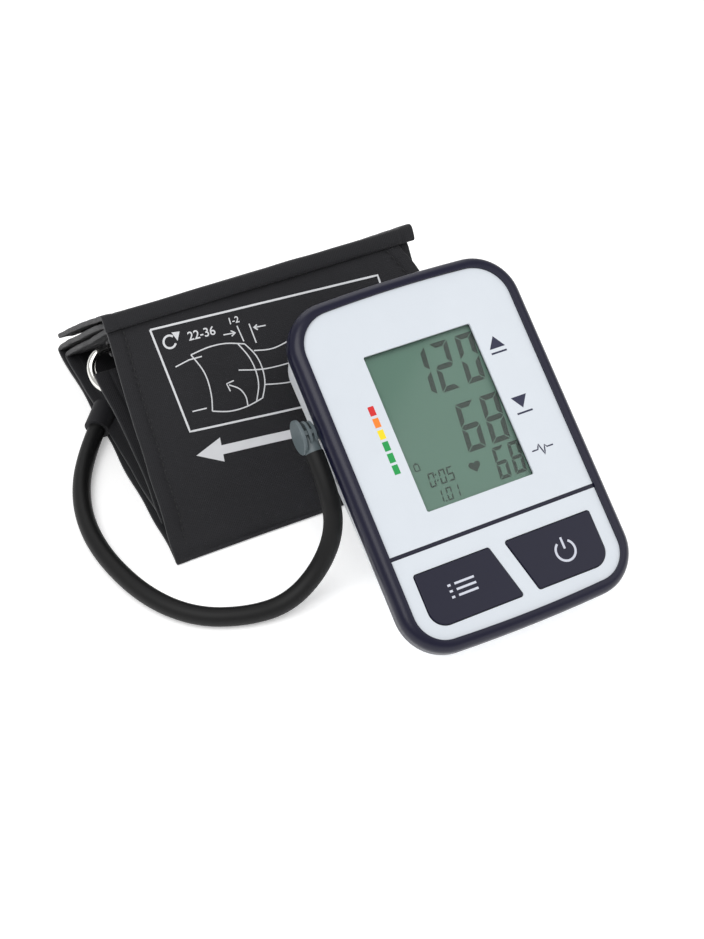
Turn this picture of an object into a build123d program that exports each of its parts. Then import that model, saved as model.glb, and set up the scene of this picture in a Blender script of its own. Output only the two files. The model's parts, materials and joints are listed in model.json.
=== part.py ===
from build123d import *
import math
import os

# Upper arm blood pressure monitor: a wedge-shaped monitor leaning on its rolled arm cuff, with
# the air tube plugged into the monitor's left wall. All sizes are in millimetres.
#
# Three frames are used. The panel frame has its origin at the centre of the display panel, +Z
# out of the panel and +Y towards the far end. The base frame lies on the monitor's underside.
# The object frame has +Z up from the table and +X along the panel's width.

# Monitor outline and wedge
BODY_W = 107.8
BODY_L = 157.0
CORNER_R = 20.4
END_ARCH = 1.9
DEPTH_MID = 31.0
WEDGE = 8.0
PANEL_TILT = 32.5
MONITOR_X = 34.5
MONITOR_Y = -66.0

# Shell walls and seams
CROWN = 0.8
RIM_DEPTH = 7.2
RIM_ROUND = 4.6
COVER_WALL = 2.4
DECK_TOP = -1.4
DECK_T = 1.8
FLANGE_H = 2.2
FLANGE_INSET = 0.6
CASE_INSET = 2.3
CASE_WALL = 2.2
CASE_DRAFT = 9.0
BASE_ROUND = 6.2
SEAM_GAP = 0.15
FIT = 0.3

# White face plates
FACE_W = 96.2
FACE_L = 146.6
FACE_R_FAR = 15.8
FACE_R_NEAR = 13.3
FACE_T = 1.2
DIVIDER_Y = -34.0
DIVIDER_W = 1.45

# Display
WINDOW_W = 50.5
WINDOW_L = 70.0
WINDOW_Y = 14.2
WINDOW_R = 0.8
LENS_T = 1.0
LENS_LAP = 2.0
LCD_T = 2.8
LCD_MARGIN = 3.4

# Push buttons
BUTTON_FAR_Y = -43.1
BUTTON_NEAR_Y = -66.4
BUTTON_LEFT_X = -41.5
BUTTON_RIGHT_X = 41.3
BUTTON_SPLIT_FAR_X = -2.95
BUTTON_SPLIT_NEAR_X = 3.4
BUTTON_SPLIT_W = 7.6
BUTTON_R = 7.2
BUTTON_SMALL_R = 1.0
BUTTON_PROUD = 0.5
BUTTON_CLEAR = 0.35
BUTTON_CAP_T = 3.7
BUTTON_FLANGE = 1.0
BUTTON_FLANGE_T = 0.8
BUTTON_STEM = 7.0
BUTTON_TRAVEL = 0.8

# Main board
BOARD_W = 72.0
BOARD_FAR_Y = 51.0
BOARD_NEAR_Y = -68.0
BOARD_TOP = -9.0
BOARD_T = 1.6
DOME_D = 12.0
DOME_H = 0.9

# Batteries and their bay, in the base frame
CELL_D = 14.2
CELL_L = 50.5
CELL_COUNT = 4
CELL_PITCH = 14.8
SPRING_L = 4.2
BAY_WALL = 1.2
BAY_Y = 15.0
COVER_T = 2.0
COVER_LAP = 3.0
COVER_TRAVEL = 6.0
FOOT_D = 9.0
FOOT_H = 1.2
FOOT_X = 31.0
FOOT_NEAR_Y = -60.0
FOOT_FAR_Y = 60.0

# Screws
CASE_BOSS_FAR = (41.5, 60.0)
CASE_BOSS_NEAR = (42.5, -36.5)
CASE_BOSS_D = 7.0
SCREW_D = 2.6
SCREW_HEAD_D = 5.0
SCREW_HEAD_H = 2.0
BOARD_BOSS_D = 5.0
BOARD_SCREW_X = 33.4
BOARD_SCREW_Y = (-29.5, 45.5)

# Air pump, valve and fittings
PUMP_D = 21.0
PUMP_MOTOR_L = 30.0
PUMP_HEAD_L = 24.0
PUMP_Y = 58.2
PUMP_Z = -25.0
PORT_D = 4.0
HOSE_D = 5.8
HOSE_BEND = 5.0
PUMP_PORT_Y = 52.0
LINE_Z = -29.0
MANIFOLD_X = -40.0
MANIFOLD_W = 10.0
MANIFOLD_L = 12.0
MANIFOLD_LOW = -31.3
MANIFOLD_HIGH = -21.0
VALVE_L = 14.0
VALVE_H = 12.2
VALVE_HIGH = -13.3
VALVE_GAP = 3.0
SENSOR_L = 6.5
SENSOR_H = 8.0
SOCKET_Y = 28.2
SOCKET_Z = -12.5
SOCKET_D = 11.0
SOCKET_BORE = 6.6
SOCKET_L = 14.0
JACK_Y = 7.0
JACK_Z = -16.5
JACK_W = 9.0
JACK_L = 13.0
JACK_BORE = 6.0
JACK_PIN = 2.0

# Air plug
PLUG_NOZZLE_D = 6.4
PLUG_NOZZLE_L = 9.0
PLUG_DISC_D = 15.0
PLUG_DISC_T = 1.8
PLUG_RIB_D = 13.0
PLUG_RIB_T = 1.2
PLUG_RIB_PITCH = 2.35
PLUG_REACH = 10.0
PLUG_ELBOW_L = 8.2
PLUG_WEB_T = 2.0
ORING_SECTION = 1.4

# Air tube: route of its centre line in the object frame, from the plug to the cuff
TUBE_D = 8.2
TUBE_LEAD = 16.0
TUBE_ROUTE = [
    (-23.2, -64.0, 31.5),
    (-32.5, -68.0, 15.0),
    (-48.5, -71.5, 5.4),
    (-66.5, -69.5, 4.2),
    (-86.0, -60.5, 4.2),
    (-100.0, -42.0, 4.2),
    (-108.0, -16.0, 4.2),
    (-109.5, 9.0, 4.2),
    (-104.0, 33.0, 4.2),
    (-92.5, 54.0, 4.8),
    (-84.5, 63.5, 6.6),
]
TUBE_BEND_SHARE = 0.45

# Cuff: a rolled band with a three-cornered section, in the object frame
CUFF_LEFT_X = -82.0
CUFF_W = 148.0
CUFF_NEAR_Y = -28.0
CUFF_TOP_Y = 39.5
CUFF_TOP_Z = 88.0
CUFF_BACK_Y = 138.0
CUFF_NEAR_R = 3.0
CUFF_TOP_R = 9.0
CUFF_BACK_R = 7.0
SHELL_T = 1.8
BLADDER_T = 1.4
LINING_T = 1.4
BLADDER_MARGIN = 15.0
LAYER_GAP = 0.2
FLAP_T = 2.4
FLAP_L = 66.0
PATCH_T = 0.9
PATCH_L = 48.0
STRAP_T = 2.4
STRAP_MARGIN = 8.0
STRAP_L = 26.0
RING_WIRE = 4.0
RING_H = 22.0
RING_W = 157.0
RING_Y = 56.0
RING_Z = 46.0
RING_LEAN = 45.0
PORT_SLEEVE_D = 12.0
PORT_SLEEVE_L = 13.0
PORT_MOUTH_L = 8.0

MONITOR_TURN = Rot(PANEL_TILT, 0, 0)
BASE = Location(Plane(
    origin=(0, 0, -DEPTH_MID),
    x_dir=(1, 0, 0),
    z_dir=(0, math.sin(math.radians(WEDGE)), math.cos(math.radians(WEDGE))),
))


def case_depth(y):
    """Depth of the underside below the panel at a place along the panel."""
    return DEPTH_MID + y * math.tan(math.radians(WEDGE))


def arched_outline(width, length, far_r, near_r, arch=END_ARCH):
    """A rounded rectangle whose two short ends bulge outwards by the arch."""
    half_w = width / 2
    half_l = length / 2
    edges = [
        Line((-half_w, half_l - arch), (-half_w, -half_l + arch)),
        ThreePointArc((-half_w, -half_l + arch), (0, -half_l), (half_w, -half_l + arch)),
        Line((half_w, -half_l + arch), (half_w, half_l - arch)),
        ThreePointArc((half_w, half_l - arch), (0, half_l), (-half_w, half_l - arch)),
    ]
    face = make_face(Wire(edges))
    corners = face.vertices().sort_by(Axis.Y)
    face = fillet(corners[:2], near_r)
    return fillet(face.vertices().group_by(Axis.Y)[-1], far_r)


def slab(sketch, low, high):
    """The sketch as a solid between two heights."""
    return extrude(Pos(0, 0, low) * sketch, amount=high - low, dir=(0, 0, 1))


def block(x0, x1, y0, y1, z0, z1):
    """A box between two corners."""
    return Pos((x0 + x1) / 2, (y0 + y1) / 2, (z0 + z1) / 2) * Box(x1 - x0, y1 - y0, z1 - z0)


def rod(start, end, diameter):
    """A round bar between two points."""
    axis = Vector(*end) - Vector(*start)
    plane = Plane(origin=start, z_dir=axis)
    return extrude(plane * Circle(diameter / 2), amount=axis.length)


def body_outline(inset):
    """The monitor's outline, drawn in by an inset."""
    return arched_outline(
        BODY_W - 2 * inset, BODY_L - 2 * inset, CORNER_R - inset, CORNER_R - inset
    )


def face_outline(grow=0.0):
    """The outline of the two white plates together."""
    return arched_outline(
        FACE_W + 2 * grow, FACE_L + 2 * grow, FACE_R_FAR + grow, FACE_R_NEAR + grow, END_ARCH
    )


def window_sketch(grow):
    """The display window, enlarged by a margin."""
    radius = WINDOW_R + max(grow, 0)
    size = RectangleRounded(WINDOW_W + 2 * grow, WINDOW_L + 2 * grow, radius)
    return Pos(0, WINDOW_Y) * size


def button_outline(side):
    """One button's top: its outer near corner is round and its inner edge leans."""
    half_gap = BUTTON_SPLIT_W / 2
    outer_x = BUTTON_LEFT_X if side < 0 else BUTTON_RIGHT_X
    far_x = BUTTON_SPLIT_FAR_X + side * half_gap
    near_x = BUTTON_SPLIT_NEAR_X + side * half_gap
    face = make_face(Polyline(
        (outer_x, BUTTON_FAR_Y),
        (far_x, BUTTON_FAR_Y),
        (near_x, BUTTON_NEAR_Y),
        (outer_x, BUTTON_NEAR_Y),
        close=True,
    ))
    outer_near = face.vertices().sort_by_distance((outer_x, BUTTON_NEAR_Y, 0))[0]
    face = fillet(outer_near, BUTTON_R)
    sharp = [
        face.vertices().sort_by_distance(spot)[0]
        for spot in (
            (outer_x, BUTTON_FAR_Y, 0),
            (far_x, BUTTON_FAR_Y, 0),
            (near_x, BUTTON_NEAR_Y, 0),
        )
    ]
    return fillet(sharp, BUTTON_SMALL_R)


def grown(sketch, amount):
    """A sketch with its edge moved outwards."""
    return offset(sketch, amount=amount, kind=Kind.ARC)


def case_solid(inset, top, lift):
    """The drafted case body under a height, cut off at the underside raised by a lift."""
    bottom = -case_depth(BODY_L / 2) - 10
    drop = top - bottom
    shrink = drop * math.tan(math.radians(CASE_DRAFT))
    upper = Pos(0, 0, top) * body_outline(inset)
    lower = Pos(0, 0, bottom) * body_outline(inset + shrink)
    body = loft([upper, lower], ruled=True)
    below = BASE * Pos(0, 0, lift - 50) * Box(400, 400, 100)
    return body - below


def case_wall_x(z):
    """Where the case's side wall stands, from the middle, at a height."""
    flange_bottom = -RIM_DEPTH - FLANGE_H
    drop = flange_bottom - z
    return BODY_W / 2 - CASE_INSET - drop * math.tan(math.radians(CASE_DRAFT))


def boss_places():
    """Places of the four case screws."""
    return [(side * x, y) for side in (-1, 1) for x, y in (CASE_BOSS_FAR, CASE_BOSS_NEAR)]


def board_screw_places():
    """Places of the four board screws."""
    return [(sx * BOARD_SCREW_X, y) for sx in (-1, 1) for y in BOARD_SCREW_Y]


def front_cover():
    """Navy front shell: rounded rim, deck under the plates, divider and screw pillars."""
    shell = slab(body_outline(0), -RIM_DEPTH, CROWN)
    shell = fillet(shell.faces().sort_by(Axis.Z)[-1].edges(), RIM_ROUND)
    shell -= slab(body_outline(COVER_WALL), -RIM_DEPTH, DECK_TOP - DECK_T)
    shell -= slab(face_outline(SEAM_GAP), DECK_TOP, CROWN + 1)
    rib = block(
        -FACE_W / 2, FACE_W / 2, DIVIDER_Y - DIVIDER_W / 2, DIVIDER_Y + DIVIDER_W / 2, DECK_TOP, -0.1
    )
    shell += rib & slab(face_outline(), DECK_TOP, CROWN)
    shell -= slab(window_sketch(0.4), DECK_TOP - DECK_T - 1, CROWN)
    shell -= slab(window_sketch(LENS_LAP + SEAM_GAP), DECK_TOP - LENS_T - 0.1, CROWN)
    for side in (-1, 1):
        shell -= slab(grown(button_outline(side), BUTTON_CLEAR), DECK_TOP - DECK_T - 1, CROWN)
    for x, y in boss_places():
        pillar = Pos(x, y, (DECK_TOP - 0.5 - RIM_DEPTH - FLANGE_H) / 2) * Cylinder(
            CASE_BOSS_D / 2, RIM_DEPTH + FLANGE_H + DECK_TOP - 0.5
        )
        shell += pillar
        shell -= Pos(x, y, -RIM_DEPTH) * Cylinder(SCREW_D / 2 + SEAM_GAP, 6)
    for x, y in board_screw_places():
        length = BOARD_TOP - (DECK_TOP - 0.5)
        shell += Pos(x, y, BOARD_TOP - length / 2) * Cylinder(BOARD_BOSS_D / 2, -length)
        shell -= Pos(x, y, BOARD_TOP + 2) * Cylinder(SCREW_D / 2 + SEAM_GAP, 4)
    return shell


def face_plate(far):
    """One white plate, above or below the divider."""
    plate = slab(face_outline(), DECK_TOP, DECK_TOP + FACE_T)
    edge = DIVIDER_Y + DIVIDER_W / 2 + SEAM_GAP
    if far:
        plate &= block(-BODY_W, BODY_W, edge, BODY_L, -20, 20)
        plate -= slab(window_sketch(0), -20, 20)
        return plate
    plate &= block(-BODY_W, BODY_W, -BODY_L, edge - DIVIDER_W - 2 * SEAM_GAP, -20, 20)
    for side in (-1, 1):
        plate -= slab(grown(button_outline(side), BUTTON_CLEAR), -20, 20)
    return plate


def display_lens():
    """Clear window seated in the deck under the upper plate."""
    return slab(window_sketch(LENS_LAP), DECK_TOP - LENS_T, DECK_TOP)


def display_module():
    """Liquid crystal glass behind the lens."""
    top = DECK_TOP - DECK_T - 0.4
    glass = RectangleRounded(WINDOW_W + 2 * LCD_MARGIN, WINDOW_L + 2 * LCD_MARGIN, 0.6)
    return slab(Pos(0, WINDOW_Y) * glass, top - LCD_T, top)


def display_holder():
    """Frame that stands on the board and holds the glass."""
    top = DECK_TOP - DECK_T - 0.4
    outer_w = WINDOW_W + 2 * LCD_MARGIN + 4
    outer_l = WINDOW_L + 2 * LCD_MARGIN + 4
    frame = slab(Pos(0, WINDOW_Y) * RectangleRounded(outer_w, outer_l, 2), BOARD_TOP, top - 0.2)
    pocket = Rectangle(WINDOW_W + 2 * LCD_MARGIN + 0.2, WINDOW_L + 2 * LCD_MARGIN + 0.2)
    frame -= slab(Pos(0, WINDOW_Y) * pocket, top - LCD_T, top)
    inner = Rectangle(WINDOW_W - 4, WINDOW_L - 4)
    frame -= slab(Pos(0, WINDOW_Y) * inner, BOARD_TOP - 1, top)
    return frame


def main_board():
    """Circuit board under the deck, notched for the air socket."""
    bottom = BOARD_TOP - BOARD_T
    length = BOARD_FAR_Y - BOARD_NEAR_Y
    middle = (BOARD_FAR_Y + BOARD_NEAR_Y) / 2
    board = slab(Pos(0, middle) * RectangleRounded(BOARD_W, length, 2), bottom, BOARD_TOP)
    notch_y = SOCKET_D / 2 + 4
    board -= block(-BOARD_W, -27, SOCKET_Y - notch_y, SOCKET_Y + notch_y, -20, 0)
    for x, y in board_screw_places():
        board -= Pos(x, y, BOARD_TOP) * Cylinder(SCREW_D / 2 + SEAM_GAP, 6)
    return board


def board_parts():
    """Processor, crystal, memory and driver packages on the board's underside."""
    bottom = BOARD_TOP - BOARD_T
    packages = [
        (0, -45, 12, 12, 1.2),
        (-20, -40, 8, 5, 1.2),
        (20, -36, 8, 5, 1.2),
        (14, -60, 9, 3.5, 2.6),
        (-14, -58, 5, 7, 1.8),
    ]
    solids = [
        block(x - w / 2, x + w / 2, y - h / 2, y + h / 2, bottom - t, bottom)
        for x, y, w, h, t in packages
    ]
    return Compound(solids)


def buzzer():
    """Round sounder on the board's underside."""
    bottom = BOARD_TOP - BOARD_T
    can = Pos(-26, -58, bottom - 2.5) * Cylinder(5, 5)
    return can - Pos(-26, -58, bottom - 5) * Cylinder(1, 2)


def dome_switch(side):
    """Tact switch under one button."""
    x, y = button_centre(side)
    base = Pos(x, y, BOARD_TOP + 1.0) * Box(DOME_D * 0.6, DOME_D * 0.6, 2.0)
    return base + Pos(x, y, BOARD_TOP + 2.0 + DOME_H / 2) * Cylinder(2.2, DOME_H)


def button_centre(side):
    """Where a button's stem stands."""
    outer_x = BUTTON_LEFT_X if side < 0 else BUTTON_RIGHT_X
    inner_x = (BUTTON_SPLIT_FAR_X + BUTTON_SPLIT_NEAR_X) / 2 + side * BUTTON_SPLIT_W / 2
    return ((outer_x + inner_x) / 2, (BUTTON_FAR_Y + BUTTON_NEAR_Y) / 2)


def push_button(side):
    """Navy button cap with its stem, proud of the white plate."""
    top = DECK_TOP + FACE_T + BUTTON_PROUD
    cap = slab(button_outline(side), top - BUTTON_CAP_T, top)
    cap = fillet(cap.faces().sort_by(Axis.Z)[-1].edges(), 0.4)
    low = top - BUTTON_CAP_T
    cap += slab(grown(button_outline(side), BUTTON_FLANGE), low - BUTTON_FLANGE_T, low)
    x, y = button_centre(side)
    stem_end = BOARD_TOP + 2.0 + DOME_H + BUTTON_TRAVEL + 0.3
    stem_l = low - BUTTON_FLANGE_T - stem_end
    return cap + Pos(x, y, stem_end + stem_l / 2) * Cylinder(BUTTON_STEM / 2, stem_l)


def bay_size():
    """Inside width and length of the battery bay."""
    return CELL_COUNT * CELL_PITCH + 0.6, CELL_L + SPRING_L + 2.4


def lower_case():
    """White lower case: flange, drafted walls, battery bay, bosses and side ports."""
    flange_bottom = -RIM_DEPTH - FLANGE_H
    case = case_solid(CASE_INSET, flange_bottom, 0)
    base_face = case.faces().sort_by(Axis.Z)[0]
    case = fillet(base_face.edges(), BASE_ROUND)
    case += slab(body_outline(FLANGE_INSET), flange_bottom, -RIM_DEPTH)
    case -= case_solid(CASE_INSET + CASE_WALL, flange_bottom, CASE_WALL)
    case -= slab(body_outline(CASE_INSET + CASE_WALL + 4 * SEAM_GAP), flange_bottom - 1, 0)
    bay_w, bay_l = bay_size()
    ceiling = cell_height() + CELL_D / 2 + 0.3
    case += BASE * Pos(0, BAY_Y, (ceiling + BAY_WALL) / 2 + 0.5) * Box(
        bay_w + 2 * BAY_WALL, bay_l + 2 * BAY_WALL, ceiling + BAY_WALL - 1
    )
    for x, y in boss_places():
        foot = -case_depth(y) + CASE_WALL * 0.5
        boss = Pos(x, y, (flange_bottom + foot) / 2) * Cylinder(CASE_BOSS_D / 2, flange_bottom - foot)
        case += boss
        case -= Pos(x, y, flange_bottom) * Cylinder(SCREW_D / 2 + SEAM_GAP, 200)
        shank = screw_head_z(y)
        case -= Pos(x, y, shank - 50) * Cylinder(SCREW_HEAD_D / 2 + FIT, 100)
    case -= BASE * Pos(0, BAY_Y, ceiling / 2 - 1) * Box(bay_w, bay_l, ceiling + 2)
    opening_w = bay_w + 2 * COVER_LAP
    opening_l = bay_l + 2 * COVER_LAP + COVER_TRAVEL
    recess = COVER_T + FIT / 2
    case -= BASE * Pos(0, BAY_Y - COVER_TRAVEL / 2, recess / 2 - 0.5) * Box(
        opening_w + 2 * FIT, opening_l + 2 * FIT, recess + 1
    )
    case += cover_ledge(bay_w, bay_l)
    wall = BODY_W / 2
    case -= rod((-wall - 5, SOCKET_Y, SOCKET_Z), (-wall + 12, SOCKET_Y, SOCKET_Z), SOCKET_D + 2 * SEAM_GAP)
    case -= rod((-wall - 5, JACK_Y, JACK_Z), (-wall + 12, JACK_Y, JACK_Z), JACK_BORE + 1)
    return case


def cover_ledge(bay_w, bay_l):
    """Ledge inside the cover's recess that the cover's edges lie on."""
    ledge_low = COVER_T + FIT / 2
    outer = Box(bay_w + 2 * COVER_LAP + 4, bay_l + 2 * COVER_LAP + COVER_TRAVEL + 4, CASE_WALL)
    inner = Pos(0, COVER_TRAVEL / 2) * Box(bay_w, bay_l, CASE_WALL + 2)
    return BASE * Pos(0, BAY_Y - COVER_TRAVEL / 2, ledge_low + CASE_WALL / 2) * (outer - inner)


def screw_head_z(y):
    """Height of the underside of a case screw's head."""
    return -case_depth(y) + 6.0


def battery_cover():
    """Sliding cover of the battery bay with its thumb grip ridges."""
    bay_w, bay_l = bay_size()
    width = bay_w + 2 * COVER_LAP
    length = bay_l + 2 * COVER_LAP
    plate = Pos(0, BAY_Y, COVER_T / 2) * Box(width, length, COVER_T)
    plate = fillet(plate.edges().filter_by(Axis.Z), 2.0)
    grip_y = BAY_Y - length / 2 + 9
    for step in range(4):
        plate -= Pos(0, grip_y + 2.2 * step, 0) * Box(18, 1.1, 0.8)
    return BASE * plate


def cell_places():
    """Middle of each cell across the bay."""
    first = -(CELL_COUNT - 1) / 2 * CELL_PITCH
    return [first + CELL_PITCH * step for step in range(CELL_COUNT)]


def cell_height():
    """Height of the cells' axes over the underside."""
    return COVER_T + FIT + CELL_D / 2 + 0.2


def cell(index):
    """One cell with its raised positive end; neighbours lie opposite ways."""
    sign = 1 if index % 2 == 0 else -1
    body = Rot(-90 * sign, 0, 0) * (
        Cylinder(CELL_D / 2, CELL_L - 1.2) + Pos(0, 0, CELL_L / 2 - 0.3) * Cylinder(2.7, 1.4)
    )
    return BASE * Pos(cell_places()[index], BAY_Y, cell_height()) * body


def cell_contacts():
    """Contact plates at both ends of the bay."""
    bay_l = bay_size()[1]
    plates = []
    for end in (-1, 1):
        for x in cell_places():
            plate = Pos(x, BAY_Y + end * (bay_l / 2 - 0.25), cell_height()) * Box(11, 0.5, 11)
            plates.append(BASE * plate)
    return Compound(plates)


def cell_springs():
    """Conical springs that press on each cell's flat end."""
    springs = []
    bay_l = bay_size()[1]
    for index, x in enumerate(cell_places()):
        end = -1 if index % 2 == 0 else 1
        face = bay_l / 2 - 0.5
        reach = face - (CELL_L / 2 - 0.6) - 0.1
        turn = Rot(90 * end, 0, 0)
        cone = Cone(4.6, 2.6, reach) - Cone(3.8, 1.8, reach)
        place = Pos(x, BAY_Y + end * (face - reach / 2), cell_height())
        springs.append(BASE * place * turn * cone)
    return Compound(springs)


def rubber_feet():
    """Four round feet glued to the underside."""
    feet = [
        BASE * Pos(side * FOOT_X, y, -FOOT_H / 2) * Cylinder(FOOT_D / 2, FOOT_H)
        for side in (-1, 1)
        for y in (FOOT_NEAR_Y, FOOT_FAR_Y)
    ]
    return Compound(feet)


def screw(x, y, head_z, length):
    """A pan-head screw that points up from its head, with a cross recess."""
    shank = Pos(x, y, head_z + length / 2) * Cylinder(SCREW_D / 2, length)
    head = Pos(x, y, head_z - SCREW_HEAD_H / 2) * Cylinder(SCREW_HEAD_D / 2, SCREW_HEAD_H)
    recess = Box(3.2, 0.7, 1.6) + Box(0.7, 3.2, 1.6)
    return shank + head - Pos(x, y, head_z - SCREW_HEAD_H) * recess


def case_screws():
    """Four screws that hold the lower case to the front cover."""
    end = -RIM_DEPTH + 2.5
    return Compound([
        screw(x, y, screw_head_z(y), end - screw_head_z(y)) for x, y in boss_places()
    ])


def board_screws():
    """Four short screws that hold the board to the front cover."""
    head_z = BOARD_TOP - BOARD_T
    return Compound([screw(x, y, head_z, BOARD_T + 3.5) for x, y in board_screw_places()])


def air_socket():
    """Air inlet in the left wall: a round body with a bore and an inner nipple."""
    mouth = socket_mouth_x()
    inner = mouth + SOCKET_L
    body = rod((mouth, SOCKET_Y, SOCKET_Z), (inner, SOCKET_Y, SOCKET_Z), SOCKET_D)
    collar_x = -case_wall_x(SOCKET_Z) + CASE_WALL + 1.4
    body += rod((collar_x, SOCKET_Y, SOCKET_Z), (collar_x + 1.6, SOCKET_Y, SOCKET_Z), SOCKET_D + 3)
    nipple = (MANIFOLD_X, SOCKET_Y)
    body += rod((*nipple, SOCKET_Z), (*nipple, MANIFOLD_HIGH), PORT_D)
    bore_end = mouth + PLUG_NOZZLE_L + 1.5
    body -= rod((mouth - 1, SOCKET_Y, SOCKET_Z), (bore_end, SOCKET_Y, SOCKET_Z), SOCKET_BORE)
    body -= rod((bore_end - 1, SOCKET_Y, SOCKET_Z), (MANIFOLD_X, SOCKET_Y, SOCKET_Z), 2.0)
    return body - rod((*nipple, SOCKET_Z), (*nipple, MANIFOLD_HIGH - 1), 2.0)


def socket_mouth_x():
    """Where the air socket's outer face is."""
    return -case_wall_x(SOCKET_Z - SOCKET_D / 2) - 1.0


def power_jack():
    """Round power inlet beside the air socket."""
    mouth = -case_wall_x(JACK_Z - JACK_W / 2) + CASE_WALL + 0.4
    body = block(
        mouth, mouth + JACK_L, JACK_Y - JACK_W / 2, JACK_Y + JACK_W / 2,
        JACK_Z - JACK_W / 2, JACK_Z + JACK_W / 2 - 1,
    )
    collar = -case_wall_x(JACK_Z) + 0.3
    body += rod((collar, JACK_Y, JACK_Z), (mouth, JACK_Y, JACK_Z), JACK_BORE + 0.8)
    body -= rod((collar - 1, JACK_Y, JACK_Z), (mouth + JACK_L - 2, JACK_Y, JACK_Z), JACK_BORE)
    pin_end = mouth + JACK_L - 1
    return body + rod((collar + 1.5, JACK_Y, JACK_Z), (pin_end, JACK_Y, JACK_Z), JACK_PIN)


def air_pump():
    """Pump head with its outlet port, at the far end of the case."""
    x0 = -PUMP_HEAD_L
    head = rod((x0, PUMP_Y, PUMP_Z), (0, PUMP_Y, PUMP_Z), PUMP_D)
    head = chamfer(head.edges().filter_by(GeomType.CIRCLE), 0.8)
    return head + rod((x0 + 1, PUMP_PORT_Y, LINE_Z), (x0 - 5, PUMP_PORT_Y, LINE_Z), PORT_D)


def pump_motor():
    """Electric motor behind the pump head."""
    motor = rod((0, PUMP_Y, PUMP_Z), (PUMP_MOTOR_L, PUMP_Y, PUMP_Z), PUMP_D - 2)
    motor = fillet(motor.edges().filter_by(GeomType.CIRCLE).sort_by(Axis.X)[-1], 1.2)
    return motor + rod((PUMP_MOTOR_L, PUMP_Y, PUMP_Z), (PUMP_MOTOR_L + 2, PUMP_Y, PUMP_Z), 6)


def pump_cradle():
    """Foam saddle between the pump and the case floor."""
    width = PUMP_HEAD_L + PUMP_MOTOR_L - 8
    floor = -case_depth(PUMP_Y) + CASE_WALL
    middle = (PUMP_MOTOR_L - PUMP_HEAD_L) / 2
    pad = Pos(middle, PUMP_Y, (floor + PUMP_Z - 4) / 2 - 1) * Box(width, PUMP_D - 6, PUMP_Z - 4 - floor + 2)
    pad -= rod((-60, PUMP_Y, PUMP_Z), (60, PUMP_Y, PUMP_Z), PUMP_D + 0.1)
    return pad - BASE * Pos(0, 0, CASE_WALL + 0.05 - 50) * Box(400, 400, 100)


def manifold():
    """Air manifold under the socket, with a port to the pump."""
    x0 = MANIFOLD_X - MANIFOLD_W / 2
    y0 = SOCKET_Y - MANIFOLD_L / 2
    far = y0 + MANIFOLD_L
    body = block(x0, x0 + MANIFOLD_W, y0, far, MANIFOLD_LOW, MANIFOLD_HIGH)
    body = chamfer(body.edges().filter_by(Axis.Z), 0.8)
    body += rod((MANIFOLD_X, far, LINE_Z), (MANIFOLD_X, far + 3.5, LINE_Z), PORT_D)
    body -= rod((MANIFOLD_X, SOCKET_Y, LINE_Z), (MANIFOLD_X, far + 4, LINE_Z), 2.0)
    return body - rod((MANIFOLD_X, SOCKET_Y, LINE_Z), (MANIFOLD_X, SOCKET_Y, MANIFOLD_HIGH + 1), 2.0)


def deflation_valve():
    """Electric valve that lets the cuff's air out through the manifold."""
    x0 = MANIFOLD_X - MANIFOLD_W / 2
    near = SOCKET_Y + MANIFOLD_L / 2
    y0 = near + VALVE_GAP
    body = block(x0, x0 + MANIFOLD_W, y0, y0 + VALVE_L, VALVE_HIGH - VALVE_H, VALVE_HIGH)
    body = chamfer(body.edges().filter_by(Axis.Z), 0.8)
    port_z = MANIFOLD_HIGH - PORT_D / 2
    return body + rod((MANIFOLD_X, near, port_z), (MANIFOLD_X, y0, port_z), PORT_D)


def pressure_sensor():
    """Pressure sensor on the manifold's near face."""
    x0 = MANIFOLD_X - MANIFOLD_W / 2 + 1
    far = SOCKET_Y - MANIFOLD_L / 2
    high = MANIFOLD_HIGH - 1
    return block(x0, x0 + MANIFOLD_W - 2, far - SENSOR_L, far, high - SENSOR_H, high)


def pump_hose():
    """Soft hose from the pump to the manifold."""
    port_y = SOCKET_Y + MANIFOLD_L / 2 + 0.3
    path = FilletPolyline(
        (-PUMP_HEAD_L - 0.3, PUMP_PORT_Y, LINE_Z),
        (MANIFOLD_X, PUMP_PORT_Y, LINE_Z),
        (MANIFOLD_X, port_y, LINE_Z),
        radius=HOSE_BEND,
    )
    ring = Circle(HOSE_D / 2) - Circle(PORT_D / 2)
    return sweep(Plane(origin=path @ 0, z_dir=path % 0) * ring, path=path)


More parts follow.
